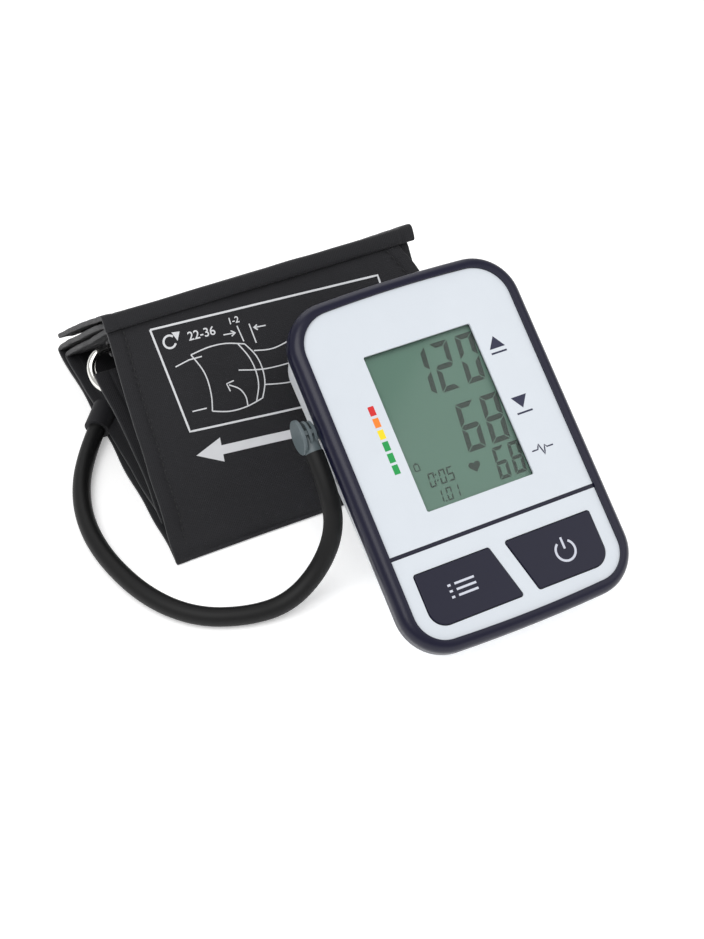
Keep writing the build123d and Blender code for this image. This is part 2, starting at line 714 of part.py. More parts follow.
def air_plug():
    """Elbow plug: nozzle, gripping ribs, thumb disc and the spigot for the tube."""
    mouth = socket_mouth_x()
    tip = mouth + PLUG_NOZZLE_L
    disc = mouth - PLUG_REACH
    axis = (SOCKET_Y, SOCKET_Z)
    plug = rod((disc, *axis), (tip, *axis), PLUG_NOZZLE_D)
    plug = chamfer(plug.faces().sort_by(Axis.X)[-1].edges(), 0.6)
    thumb = rod((disc, *axis), (disc + PLUG_DISC_T, *axis), PLUG_DISC_D)
    plug += fillet(thumb.edges().filter_by(GeomType.CIRCLE), 0.5)
    for step in (1, 2):
        x = disc + PLUG_DISC_T + step * PLUG_RIB_PITCH
        plug += rod((x - PLUG_RIB_T / 2, *axis), (x + PLUG_RIB_T / 2, *axis), PLUG_RIB_D - step)
    elbow_x = plug_elbow_x()
    spigot = rod(
        (elbow_x, SOCKET_Y, SOCKET_Z), (elbow_x, SOCKET_Y - PLUG_ELBOW_L, SOCKET_Z), TUBE_D - 0.8
    )
    plug += spigot
    plug += block(
        disc + 0.5, mouth - 1.0, SOCKET_Y - PLUG_WEB_T / 2, SOCKET_Y + PLUG_WEB_T / 2,
        SOCKET_Z - 5, SOCKET_Z + 5,
    )
    groove_x = mouth + 4.0
    groove = rod((groove_x - 0.8, *axis), (groove_x + 0.8, *axis), PLUG_NOZZLE_D + 2)
    groove -= rod((groove_x - 1, *axis), (groove_x + 1, *axis), oring_inner_d())
    plug -= groove
    return plug - rod((elbow_x, *axis), (tip + 1, *axis), 2.4)


def plug_elbow_x():
    """Where the plug's spigot leaves its body."""
    return socket_mouth_x() - PLUG_REACH / 2 - 0.6


def oring_inner_d():
    """Diameter that the sealing ring sits on."""
    return SOCKET_BORE - 0.12 - 2 * ORING_SECTION


def plug_seal():
    """Sealing ring round the plug's nozzle."""
    ring_r = oring_inner_d() / 2 + ORING_SECTION / 2
    ring = Torus(ring_r, ORING_SECTION / 2)
    return Pos(socket_mouth_x() + 4.0, SOCKET_Y, SOCKET_Z) * Rot(0, 90, 0) * ring


def tube_radii(points):
    """Bend radius at each point of the route, as large as its two runs allow."""
    radii = []
    for before, here, after in zip(points, points[1:], points[2:]):
        run_in = Vector(*here) - Vector(*before)
        run_out = Vector(*after) - Vector(*here)
        half_turn = math.radians(run_in.get_angle(run_out)) / 2
        radii.append(TUBE_BEND_SHARE * min(run_in.length, run_out.length) / math.tan(half_turn))
    return radii


def air_tube(start, lead):
    """The tube as straight runs joined by tangent arcs."""
    points = [start, lead] + TUBE_ROUTE
    radii = tube_radii(points)
    path = FilletPolyline(*points, radius=radii)
    tube = sweep(Plane(origin=path @ 0, z_dir=path % 0) * Circle(TUBE_D / 2), path=path)
    print("tube radii", [round(radius, 1) for radius in radii])
    print("tube length", round(path.length, 1))
    print("tube volume", round(tube.volume), round(path.length * math.pi * TUBE_D ** 2 / 4))
    return tube


def cuff_section(inset):
    """The roll's section, drawn in by an inset, in the YZ plane."""
    corners = [
        (CUFF_NEAR_Y, 0),
        (CUFF_BACK_Y, 0),
        (CUFF_TOP_Y, CUFF_TOP_Z),
    ]
    face = Plane.YZ * make_face(Polyline(*corners, close=True))
    for corner, radius in zip(corners, (CUFF_NEAR_R, CUFF_BACK_R, CUFF_TOP_R)):
        spot = (0, corner[0], corner[1])
        vertex = face.vertices().sort_by_distance(spot)[0]
        face = fillet(vertex, radius)
    return offset(face, amount=-inset, kind=Kind.INTERSECTION) if inset else face


def cuff_layer(outer_inset, thickness, side_margin):
    """One closed layer of the roll between two insets."""
    width = CUFF_W - 2 * side_margin
    start = CUFF_LEFT_X + side_margin
    ring = cuff_section(outer_inset) - cuff_section(outer_inset + thickness)
    return extrude(Pos(start, 0, 0) * ring, amount=width, dir=(1, 0, 0))


def back_face():
    """Frame on the roll's back face: X across, Y down the slope, Z outwards."""
    normal = Vector(0, CUFF_TOP_Z, CUFF_BACK_Y - CUFF_TOP_Y)
    middle = (CUFF_LEFT_X + CUFF_W / 2, (CUFF_TOP_Y + CUFF_BACK_Y) / 2, CUFF_TOP_Z / 2)
    return Location(Plane(origin=middle, x_dir=(1, 0, 0), z_dir=normal))


def back_half_length():
    """Half of the roll's back slope, from corner to corner."""
    return math.hypot(CUFF_BACK_Y - CUFF_TOP_Y, CUFF_TOP_Z) / 2


def cuff_flap():
    """End of the band, laid back over the roll and held by its hook patch."""
    low = back_half_length() - 2 * CUFF_BACK_R
    plate = Pos(0, low - FLAP_L / 2, 2 * PATCH_T + FLAP_T / 2) * Box(CUFF_W, FLAP_L, FLAP_T)
    plate = fillet(plate.edges().filter_by(Axis.Z).sort_by(Axis.Y)[:2], 8)
    return back_face() * plate


def cuff_patch(level):
    """Loop pile on the roll at level 0, hook tape on the flap at level 1."""
    low = back_half_length() - 2 * CUFF_BACK_R
    plate = Pos(0, low - FLAP_L + 6 + PATCH_L / 2, (level + 0.5) * PATCH_T)
    return back_face() * plate * Box(CUFF_W - 24, PATCH_L, PATCH_T)


def ring_frame():
    """Frame of the metal ring: X across, Y from its lower bar to its upper bar."""
    lean = math.radians(RING_LEAN)
    middle = (CUFF_LEFT_X + CUFF_W / 2, RING_Y, RING_Z)
    return Location(Plane(origin=middle, x_dir=(1, 0, 0), z_dir=(0, -math.sin(lean), math.cos(lean))))


def metal_ring():
    """Long wire ring with round ends that the band threads through."""
    outer = RING_H / 2 - RING_WIRE / 2
    path = RectangleRounded(RING_W - RING_WIRE, 2 * outer, outer - 0.5).wire()
    plane = Plane(origin=path @ 0, z_dir=path % 0)
    return ring_frame() * sweep(plane * Circle(RING_WIRE / 2), path=path)


def lining_face():
    """How far the lining's inner face lies inside the roll's outline."""
    return SHELL_T + BLADDER_T + LINING_T + 2 * LAYER_GAP


def ring_strap():
    """Inner end of the band, sewn to the lining, with the loop that holds the ring."""
    bar_y = RING_H / 2 - RING_WIRE / 2
    sleeve_r = RING_WIRE / 2 + LAYER_GAP
    width = CUFF_W - 2 * STRAP_MARGIN
    sleeve = ring_frame() * Pos(0, bar_y, 0) * Rot(0, 90, 0) * (
        Cylinder(sleeve_r + STRAP_T, width) - Cylinder(sleeve_r, width)
    )
    seat = (back_face().inverse() * Pos(*sleeve.center())).position
    depth = lining_face()
    tab = Pos(0, seat.Y - STRAP_L / 2, -depth - STRAP_T / 2) * Box(width, STRAP_L, STRAP_T)
    reach = -depth - STRAP_T - seat.Z
    web = Pos(0, seat.Y - STRAP_T, seat.Z + sleeve_r + reach / 2) * Box(width, STRAP_T, reach)
    bar = ring_frame() * Pos(0, bar_y, 0) * Rot(0, 90, 0) * Cylinder(sleeve_r, width)
    return back_face() * (tab + web) + sleeve - bar


def tube_port(mouth=0.0):
    """Moulded sleeve at the cuff's hem that the tube enters, with an optional longer mouth."""
    end = Vector(*TUBE_ROUTE[-1])
    run = (end - Vector(*TUBE_ROUTE[-2])).normalized()
    return rod(tuple(end - run * mouth), tuple(end + run * PORT_SLEEVE_L), PORT_SLEEVE_D)


def monitor_pieces():
    """The monitor's pieces in the panel frame."""
    pieces = {
        "lower_case": lower_case(),
        "front_cover": front_cover(),
        "upper_face_plate": face_plate(True),
        "lower_face_plate": face_plate(False),
        "display_lens": display_lens(),
        "display_module": display_module(),
        "display_holder": display_holder(),
        "main_board": main_board(),
        "board_parts": board_parts(),
        "buzzer": buzzer(),
        "mem_switch": dome_switch(-1),
        "start_switch": dome_switch(1),
        "mem_button": push_button(-1),
        "start_stop_button": push_button(1),
        "battery_cover": battery_cover(),
        "battery_contacts": cell_contacts(),
        "battery_springs": cell_springs(),
        "rubber_feet": rubber_feet(),
        "case_screws": case_screws(),
        "board_screws": board_screws(),
        "air_socket": air_socket(),
        "power_jack": power_jack(),
        "air_pump": air_pump(),
        "pump_motor": pump_motor(),
        "pump_cradle": pump_cradle(),
        "air_manifold": manifold(),
        "deflation_valve": deflation_valve(),
        "pressure_sensor": pressure_sensor(),
        "pump_hose": pump_hose(),
        "air_plug": air_plug(),
        "plug_seal": plug_seal(),
    }
    for index in range(CELL_COUNT):
        pieces[f"battery_{index + 1}"] = cell(index)
    return pieces


def cuff_pieces():
    """The cuff's pieces in the object frame."""
    port = tube_port()
    bladder_in = SHELL_T + LAYER_GAP
    lining_in = lining_face() - LINING_T
    opening = tube_port(PORT_MOUTH_L)
    return {
        "cuff_shell": cuff_layer(0, SHELL_T, 0) - opening,
        "air_bladder": cuff_layer(bladder_in, BLADDER_T, BLADDER_MARGIN) - opening,
        "cuff_lining": cuff_layer(lining_in, LINING_T, 0) - opening,
        "cuff_flap": cuff_flap(),
        "loop_patch": cuff_patch(0),
        "hook_patch": cuff_patch(1),
        "metal_ring": metal_ring(),
        "ring_strap": ring_strap(),
        "tube_port": port,
    }


def main():
    """Build every piece and write its file."""
    flat = monitor_pieces()
    lowest = min((MONITOR_TURN * flat[name]).bounding_box().min.Z for name in ("lower_case", "rubber_feet"))
    place = Pos(MONITOR_X, MONITOR_Y, -lowest) * MONITOR_TURN
    print("panel origin", [round(value, 2) for value in place.position])
    pieces = {name: place * solid for name, solid in flat.items()}
    spigot, lead = (
        (place * Pos(plug_elbow_x(), SOCKET_Y - PLUG_ELBOW_L - run, SOCKET_Z)).position
        for run in (0, TUBE_LEAD)
    )
    print("spigot end", [round(value, 2) for value in spigot])
    print("tube lead", [round(value, 2) for value in lead])
    pieces["air_tube"] = air_tube(tuple(spigot), tuple(lead))
    pieces.update(cuff_pieces())
    os.makedirs("parts", exist_ok=True)
    for name, solid in pieces.items():
        solid.label = name
        export_step(solid, f"parts/{name}.step")


if __name__ == "__main__":
    main()
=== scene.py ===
"""Looks of an upper arm blood pressure monitor on its rolled cuff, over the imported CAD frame.

Lengths in this script are millimetres until they reach Blender, which takes metres.
"""

from __future__ import annotations

import json
import logging
import math
from dataclasses import dataclass
from enum import Enum
from typing import Callable, Sequence

import bpy
from mathutils import Matrix, Vector, noise

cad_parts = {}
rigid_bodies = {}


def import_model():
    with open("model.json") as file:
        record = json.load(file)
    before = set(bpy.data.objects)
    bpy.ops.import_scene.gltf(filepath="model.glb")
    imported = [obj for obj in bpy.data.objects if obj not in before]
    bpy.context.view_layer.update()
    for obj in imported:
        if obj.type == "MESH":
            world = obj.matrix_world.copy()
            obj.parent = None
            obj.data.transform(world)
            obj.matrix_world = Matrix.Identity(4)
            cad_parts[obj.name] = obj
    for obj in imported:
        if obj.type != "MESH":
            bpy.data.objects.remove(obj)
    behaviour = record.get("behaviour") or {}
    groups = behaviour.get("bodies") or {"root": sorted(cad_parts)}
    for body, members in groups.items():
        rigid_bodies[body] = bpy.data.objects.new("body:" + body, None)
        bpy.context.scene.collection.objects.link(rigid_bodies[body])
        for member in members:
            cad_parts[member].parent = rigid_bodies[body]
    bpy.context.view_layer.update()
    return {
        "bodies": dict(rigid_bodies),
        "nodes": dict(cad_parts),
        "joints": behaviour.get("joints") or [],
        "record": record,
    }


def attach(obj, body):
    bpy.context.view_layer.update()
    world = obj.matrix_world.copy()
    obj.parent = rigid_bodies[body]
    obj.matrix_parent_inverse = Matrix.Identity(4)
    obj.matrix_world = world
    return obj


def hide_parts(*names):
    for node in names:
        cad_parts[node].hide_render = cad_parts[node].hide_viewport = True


LOG = logging.getLogger("monitor")
MM = 0.001

# The display panel: its origin is the centre of the panel, +Y runs towards the far end
PANEL_ORIGIN = (34.5, -66.0, 55.97)
PANEL_TILT = 32.5
# Heights over the panel: white plates, liquid crystal, keys, and ink over what it is printed on
PLATE_TOP = -0.2
LCD_TOP = -3.6
KEY_TOP = 0.3
PRINT_LIFT = 0.04

# The cuff's three-cornered section in the YZ plane, and its ends along X
NEAR = (-28.0, 0.0)
BACK = (138.0, 0.0)
TOP = (39.5, 88.0)
LEFT_X = -82.0
RIGHT_X = 66.0
LAYER_T = 2.3
HEM_W = 8.0
SEAM_SHARE = 0.85
# Distance along the band from the near fold, over the base and the back face, to just short of the top fold
TOP_FOLD_AT = 286.0
# The printed numbers run down to the right as the printed frame's upper edge does
NUMBER_SLOPE = 0.058

# The air tube's control points, from the plug to the cuff
TUBE_D = 8.2
TUBE_ROUTE = (
    (-22.34, -42.42, 56.18),
    (-22.34, -55.91, 47.58),
    (-23.2, -64.0, 31.5),
    (-32.5, -68.0, 15.0),
    (-48.5, -71.5, 5.4),
    (-66.5, -69.5, 4.2),
    (-86.0, -60.5, 4.2),
    (-100.0, -42.0, 4.2),
    (-108.0, -16.0, 4.2),
    (-109.5, 9.0, 4.2),
    (-104.0, 33.0, 4.2),
    (-92.5, 54.0, 4.8),
    (-84.5, 63.5, 6.6),
)

Point2 = tuple[float, float]


class Relief(Enum):
    """Kind of small relief that a material has."""

    SMOOTH = "smooth"
    GRAIN = "grain"
    WEAVE = "weave"
    PILE = "pile"
    BRUSHED = "brushed"


@dataclass(frozen=True)
class Finish:
    """What a material is made of.

    Args:
        color: sRGB colour as six hex digits.
        roughness: Surface roughness from 0 to 1.
        relief: Kind of small relief.
        pitch: Size of the relief's pattern in millimetres.
        depth: Strength of the relief from 0 to 1.
        ior: Index of refraction.
        metallic: 1 for bare metal.
        vary: How far the colour varies, from 0 to 1.
        sheen: Soft edge glow of cloth.
        coat: Clear gloss on top.
    """

    color: str
    roughness: float = 0.4
    relief: Relief = Relief.SMOOTH
    pitch: float = 1.0
    depth: float = 0.1
    ior: float = 1.5
    metallic: float = 0.0
    vary: float = 0.05
    sheen: float = 0.0
    coat: float = 0.0


FINISHES: dict[str, Finish] = {
    # Moulded ABS with a clear film: cold white, smooth, with soft wide highlights
    "white_plastic": Finish("d2d8df", 0.3, Relief.GRAIN, 0.6, 0.03, 1.49, vary=0.02, coat=0.25),
    # Moulded ABS with a fine spark-eroded texture: white and matt
    "white_case": Finish("e3e6ea", 0.46, Relief.GRAIN, 0.35, 0.12, 1.49, vary=0.02),
    # Moulded ABS dyed dark blue: nearly black, half gloss
    "navy_plastic": Finish("0b0b26", 0.32, Relief.GRAIN, 0.5, 0.04, 1.42, vary=0.08),
    # Liquid crystal under its polariser: flat grey green
    "lcd_glass": Finish("658a79", 0.4, Relief.SMOOTH, 8.0, 0.02, 1.5, vary=0.07),
    # Moulded nylon: cool grey, half matt
    "grey_plastic": Finish("5c676b", 0.42, Relief.GRAIN, 0.4, 0.1, 1.5, vary=0.08),
    # Unpainted ABS inside the case: warm white, matt
    "white_inner": Finish("d9d8d2", 0.5, Relief.GRAIN, 0.5, 0.08, 1.5),
    # Solder mask on glass fibre board: dark green and glossy
    "board_green": Finish("12512c", 0.3, Relief.GRAIN, 1.2, 0.08, 1.55, vary=0.12, coat=0.5),
    # Epoxy and moulded parts: black, matt
    "chip_black": Finish("17181a", 0.5, Relief.GRAIN, 0.3, 0.15, 1.5),
    # Stamped nickel-plated steel: grey, lightly brushed
    "steel": Finish("c2c3c6", 0.28, Relief.BRUSHED, 0.4, 0.08, metallic=1.0),
    # Nitrile rubber: black, matt
    "rubber_black": Finish("18191b", 0.55, Relief.GRAIN, 0.4, 0.12, 1.52),
    # Silicone rubber: grey, matt
    "rubber_grey": Finish("45474a", 0.65, Relief.GRAIN, 0.5, 0.15, 1.52),
    # Printed film on a cell: dark green and glossy
    "cell_green": Finish("1c7360", 0.3, Relief.SMOOTH, 4.0, 0.05, 1.5, coat=0.4),
    # Extruded rubber: deep black, with a long soft highlight
    "tube_black": Finish("060607", 0.55, Relief.GRAIN, 0.7, 0.08, 1.38, vary=0.1),
    # Woven nylon, coated: black, with thread 0.8 mm apart, coarser than real to show
    "nylon_black": Finish("17171b", 0.66, Relief.WEAVE, 0.8, 0.5, 1.4, vary=0.2, sheen=0.05),
    # Hook and loop pile: black and fuzzy
    "pile_black": Finish("121215", 0.85, Relief.PILE, 0.8, 0.8, 1.4, vary=0.25, sheen=0.15),
    # Polyester sewing thread: deep black
    "thread_black": Finish("08080a", 0.55, Relief.GRAIN, 0.2, 0.3, 1.53),
    # Chromed steel wire: bright, with sharp reflections
    "ring_chrome": Finish("e4e3de", 0.12, Relief.BRUSHED, 1.5, 0.02, metallic=1.0),
    # Open-cell foam: grey and rough
    "foam_grey": Finish("4b4c50", 0.9, Relief.PILE, 1.2, 0.7, 1.4),
    # Screen print on cloth: off white, broken by the weave
    "print_white": Finish("d4d5d8", 0.6, Relief.WEAVE, 0.55, 0.25, 1.5, vary=0.08),
    # Pad print on plastic: dark blue, even
    "print_navy": Finish("20223f", 0.45, Relief.SMOOTH, 2.0, 0.02, 1.5),
    # Pad print on the keys: pale, even
    "key_white": Finish("c9ccd8", 0.45, Relief.SMOOTH, 2.0, 0.02, 1.5),
    # Liquid crystal segments: dark grey green
    "segment_dark": Finish("26382f", 0.5, Relief.SMOOTH, 3.0, 0.02, 1.5),
    # Pad print in four plain colours, even and half gloss
    "bar_red": Finish("cf1d1d", 0.4, Relief.SMOOTH, 2.0, 0.02, 1.5),
    "bar_orange": Finish("f58220", 0.4, Relief.SMOOTH, 2.0, 0.02, 1.5),
    "bar_yellow": Finish("f7d912", 0.4, Relief.SMOOTH, 2.0, 0.02, 1.5),
    "bar_green": Finish("0c9646", 0.4, Relief.SMOOTH, 2.0, 0.02, 1.5),
    # White paper sweep: even and matt
    "floor": Finish("fbfbfb", 0.7, Relief.SMOOTH, 200.0, 0.0, 1.45, vary=0.0),
}

CAD_FINISH: dict[str, str] = {
    "lower_case": "white_case", "front_cover": "navy_plastic", "upper_face_plate": "white_plastic",
    "lower_face_plate": "white_plastic", "display_module": "lcd_glass", "display_holder": "white_inner",
    "main_board": "board_green", "board_parts": "chip_black", "buzzer": "chip_black",
    "mem_switch": "steel", "start_switch": "steel", "mem_button": "navy_plastic",
    "start_stop_button": "navy_plastic", "battery_cover": "white_case", "battery_contacts": "steel",
    "battery_springs": "steel", "rubber_feet": "rubber_grey", "case_screws": "steel",
    "board_screws": "steel", "air_socket": "white_inner", "power_jack": "chip_black",
    "air_pump": "chip_black", "pump_motor": "steel", "pump_cradle": "foam_grey",
    "air_manifold": "white_inner", "deflation_valve": "chip_black", "pressure_sensor": "chip_black",
    "pump_hose": "rubber_grey", "battery_1": "cell_green", "battery_2": "cell_green",
    "battery_3": "cell_green", "battery_4": "cell_green", "air_plug": "grey_plastic",
    "plug_seal": "rubber_black", "metal_ring": "ring_chrome", "tube_port": "nylon_black",
}


def linear(code: str) -> tuple[float, float, float, float]:
    """Turn six sRGB hex digits into linear colour.

    Args:
        code: The colour, such as "dde3e9".

    Returns:
        Red, green, blue and alpha, linear.
    """
    values = [int(code[at:at + 2], 16) / 255 for at in (0, 2, 4)]
    red, green, blue = (v / 12.92 if v <= 0.04045 else ((v + 0.055) / 1.055) ** 2.4 for v in values)
    return red, green, blue, 1.0


def add_node(tree: bpy.types.NodeTree, kind: str, inputs: dict | None = None, **props) -> bpy.types.Node:
    """Add one shader node, set it up and link it.

    Args:
        tree: The node tree.
        kind: Blender's type name of the node.
        inputs: Values or output sockets by input name or number.
        props: Properties of the node.

    Returns:
        The node.
    """
    node = tree.nodes.new(kind)
    for name, value in props.items():
        setattr(node, name, value)
    for key, value in (inputs or {}).items():
        if isinstance(value, bpy.types.NodeSocket):
            tree.links.new(value, node.inputs[key])
        else:
            node.inputs[key].default_value = value
    return node


class MaterialShop:
    """Makes each procedural material once."""

    def __init__(self) -> None:
        """Start with no materials made."""
        self.made: dict[str, bpy.types.Material] = {}

    def get(self, name: str) -> bpy.types.Material:
        """Return a material by its finish name, made on first use.

        Args:
            name: A key of FINISHES, or "clear_window".

        Returns:
            The material.
        """
        if name not in self.made:
            self.made[name] = self._window() if name == "clear_window" else self._solid(name, FINISHES[name])
        return self.made[name]

    def _blank(self, name: str) -> tuple[bpy.types.Material, bpy.types.NodeTree, bpy.types.Node]:
        """Make a material with an empty node tree and its output node.

        Args:
            name: The material's name.

        Returns:
            The material, its tree and its output.
        """
        material = bpy.data.materials.new(name)
        material.use_nodes = True
        tree = material.node_tree
        tree.nodes.clear()
        return material, tree, add_node(tree, "ShaderNodeOutputMaterial")

    def _window(self) -> bpy.types.Material:
        """Make clear acrylic: see-through, with a faint gloss that grows at low angles.

        Returns:
            The material.
        """
        material, tree, output = self._blank("clear_window")
        clear = add_node(tree, "ShaderNodeBsdfTransparent", {"Color": (0.97, 0.985, 0.98, 1)})
        gloss = add_node(tree, "ShaderNodeBsdfGlossy", {"Roughness": 0.08})
        edge = add_node(tree, "ShaderNodeFresnel", {"IOR": 1.35})
        mixed = add_node(tree, "ShaderNodeMixShader", {
            0: edge.outputs[0], 1: clear.outputs[0], 2: gloss.outputs[0],
        })
        tree.links.new(mixed.outputs[0], output.inputs["Surface"])
        return material

    def _solid(self, name: str, finish: Finish) -> bpy.types.Material:
        """Make an opaque material with a little tone and relief.

        Args:
            name: The material's name.
            finish: What it is made of.

        Returns:
            The material.
        """
        material, tree, output = self._blank(name)
        surface = add_node(tree, "ShaderNodeBsdfPrincipled", {
            "Roughness": finish.roughness, "IOR": finish.ior, "Metallic": finish.metallic,
            "Sheen Weight": finish.sheen, "Coat Weight": finish.coat,
        })
        place = add_node(tree, "ShaderNodeTexCoord").outputs["Object"]
        scale = 1 / (finish.pitch * MM)
        cloudy = add_node(tree, "ShaderNodeTexNoise", {"Vector": place, "Scale": scale * 0.06, "Detail": 3.0})
        base = linear(finish.color)
        dark = tuple(c * (1 - finish.vary) for c in base[:3]) + (1.0,)
        light = tuple(min(1.0, c * (1 + finish.vary)) for c in base[:3]) + (1.0,)
        tone = add_node(tree, "ShaderNodeMix", {
            "Factor": cloudy.outputs["Fac"], 6: dark, 7: light,
        }, data_type="RGBA")
        tree.links.new(tone.outputs[2], surface.inputs["Base Color"])
        height = self._height(tree, finish, place, scale)
        bump = add_node(tree, "ShaderNodeBump", {
            "Height": height, "Strength": finish.depth, "Distance": finish.pitch * MM * 0.4,
        })
        tree.links.new(bump.outputs[0], surface.inputs["Normal"])
        tree.links.new(surface.outputs[0], output.inputs["Surface"])
        return material

    def _height(self, tree: bpy.types.NodeTree, finish: Finish, place: bpy.types.NodeSocket,
                scale: float) -> bpy.types.NodeSocket:
        """Add the pattern of a finish's small relief.

        Args:
            tree: The node tree.
            finish: The finish.
            place: Object coordinates.
            scale: Turns of the pattern in a metre.

        Returns:
            The pattern's height.
        """
        if finish.relief is Relief.WEAVE:
            flat = add_node(tree, "ShaderNodeUVMap").outputs["UV"]
            # The wave texture repeats every pi / 10 over its scale
            bands = {"Vector": flat, "Scale": scale * math.pi / 10, "Distortion": 0.4}
            warp = add_node(tree, "ShaderNodeTexWave", bands, bands_direction="X")
            weft = add_node(tree, "ShaderNodeTexWave", bands, bands_direction="Y")
            threads = {0: warp.outputs["Fac"], 1: weft.outputs["Fac"]}
            return add_node(tree, "ShaderNodeMath", threads, operation="MAXIMUM").outputs[0]
        if finish.relief is Relief.PILE:
            tufts = add_node(tree, "ShaderNodeTexVoronoi", {"Vector": place, "Scale": scale})
            return tufts.outputs["Distance"]
        if finish.relief is Relief.BRUSHED:
            drawn = add_node(tree, "ShaderNodeMapping", {"Vector": place, "Scale": (0.1, 1.0, 1.0)})
            lines = {"Vector": drawn.outputs[0], "Scale": scale, "Detail": 2.0}
            return add_node(tree, "ShaderNodeTexNoise", lines).outputs["Fac"]
        grain = {"Vector": place, "Scale": scale, "Detail": 4.0}
        return add_node(tree, "ShaderNodeTexNoise", grain).outputs["Fac"]


def mesh_object(name: str, verts: Sequence[Vector], faces: Sequence[Sequence[int]],
                uvs: Sequence[Point2] | None = None) -> bpy.types.Object:
    """Make an object from millimetre vertices.

    Args:
        name: The object's name.
        verts: Vertices in millimetres, in the row frame.
        faces: Vertex numbers of each face.
        uvs: One flat place in millimetres for each vertex.

    Returns:
        The object, at the origin.
    """
    mesh = bpy.data.meshes.new(name)
    mesh.from_pydata([Vector(v) * MM for v in verts], [], [tuple(f) for f in faces])
    mesh.validate()
    if uvs:
        layer = mesh.uv_layers.new(name="flat")
        for loop in mesh.loops:
            u, v = uvs[loop.vertex_index]
            layer.data[loop.index].uv = (u * MM, v * MM)
    made = bpy.data.objects.new(name, mesh)
    bpy.context.collection.objects.link(made)
    return made


def apply_modifiers(obj: bpy.types.Object) -> None:
    """Apply every modifier of an object in order.

    Args:
        obj: The object.
    """
    bpy.context.view_layer.objects.active = obj
    for modifier in list(obj.modifiers):
        bpy.ops.object.modifier_apply(modifier=modifier.name)


def smoothed(obj: bpy.types.Object) -> None:
    """Shade an object smooth.

    Args:
        obj: The object.
    """
    for polygon in obj.data.polygons:
        polygon.use_smooth = True


def inset_corner(at: Point2, before: Point2, after: Point2, inset: float) -> Point2:
    """Move a corner of the section inwards, at equal distance from both of its sides.

    Args:
        at: The corner.
        before: The corner before it.
        after: The corner after it.
        inset: Distance from both sides.

    Returns:
        The moved corner.
    """
    here = Vector(at)
    one = (Vector(before) - here).normalized()
    two = (Vector(after) - here).normalized()
    half = one.angle(two) / 2
    way = (one + two).normalized() * (inset / math.sin(half))
    return (here.x + way.x, here.y + way.y)


def corners(inset: float) -> tuple[Point2, Point2, Point2]:
    """The section's near, back and top corners at an inset.

    Args:
        inset: Distance inside the outline.

    Returns:
        The three corners.
    """
    return (
        inset_corner(NEAR, BACK, TOP, inset),
        inset_corner(BACK, TOP, NEAR, inset),
        inset_corner(TOP, NEAR, BACK, inset),
    )


def rounded_line(points: Sequence[Point2], radii: Sequence[float], step: float, closed: bool) -> list[Point2]:
    """Points along a line with rounded corners.

    Args:
        points: The corners.
        radii: Radius at each corner.
        step: Distance between points on the straight runs.
        closed: Whether the last corner joins the first.

    Returns:
        The points in order.
    """
    count = len(points)
    spans: list[tuple[Vector, Vector, Vector]] = []
    for index, here in enumerate(points):
        at = Vector(here)
        if not closed and index in (0, count - 1):
            spans.append((at, at, at))
            continue
        back = (Vector(points[index - 1]) - at).normalized()
        ahead = (Vector(points[(index + 1) % count]) - at).normalized()
        reach = radii[index] / math.tan(back.angle(ahead) / 2)
        spans.append((at + back * reach, at, at + ahead * reach))
    line: list[Point2] = []
    for index, (enter, at, leave) in enumerate(spans):
        bends = 1 if enter == leave else 7
        for part in range(bends):
            t = part / max(bends - 1, 1)
            weight = 2 * t * (1 - t) * 1.18
            rest = 1 - weight
            both = (1 - t) ** 2 + t ** 2
            spot = enter * (rest * (1 - t) ** 2 / both) + leave * (rest * t ** 2 / both) + at * weight
            line.append((spot.x, spot.y))
        if index == count - 1 and not closed:
            break
        following = spans[(index + 1) % count][0]
        run = (following - leave).length
        steps = max(1, int(run / step))
        for part in range(1, steps):
            spot = leave.lerp(following, part / steps)
            line.append((spot.x, spot.y))
    return line


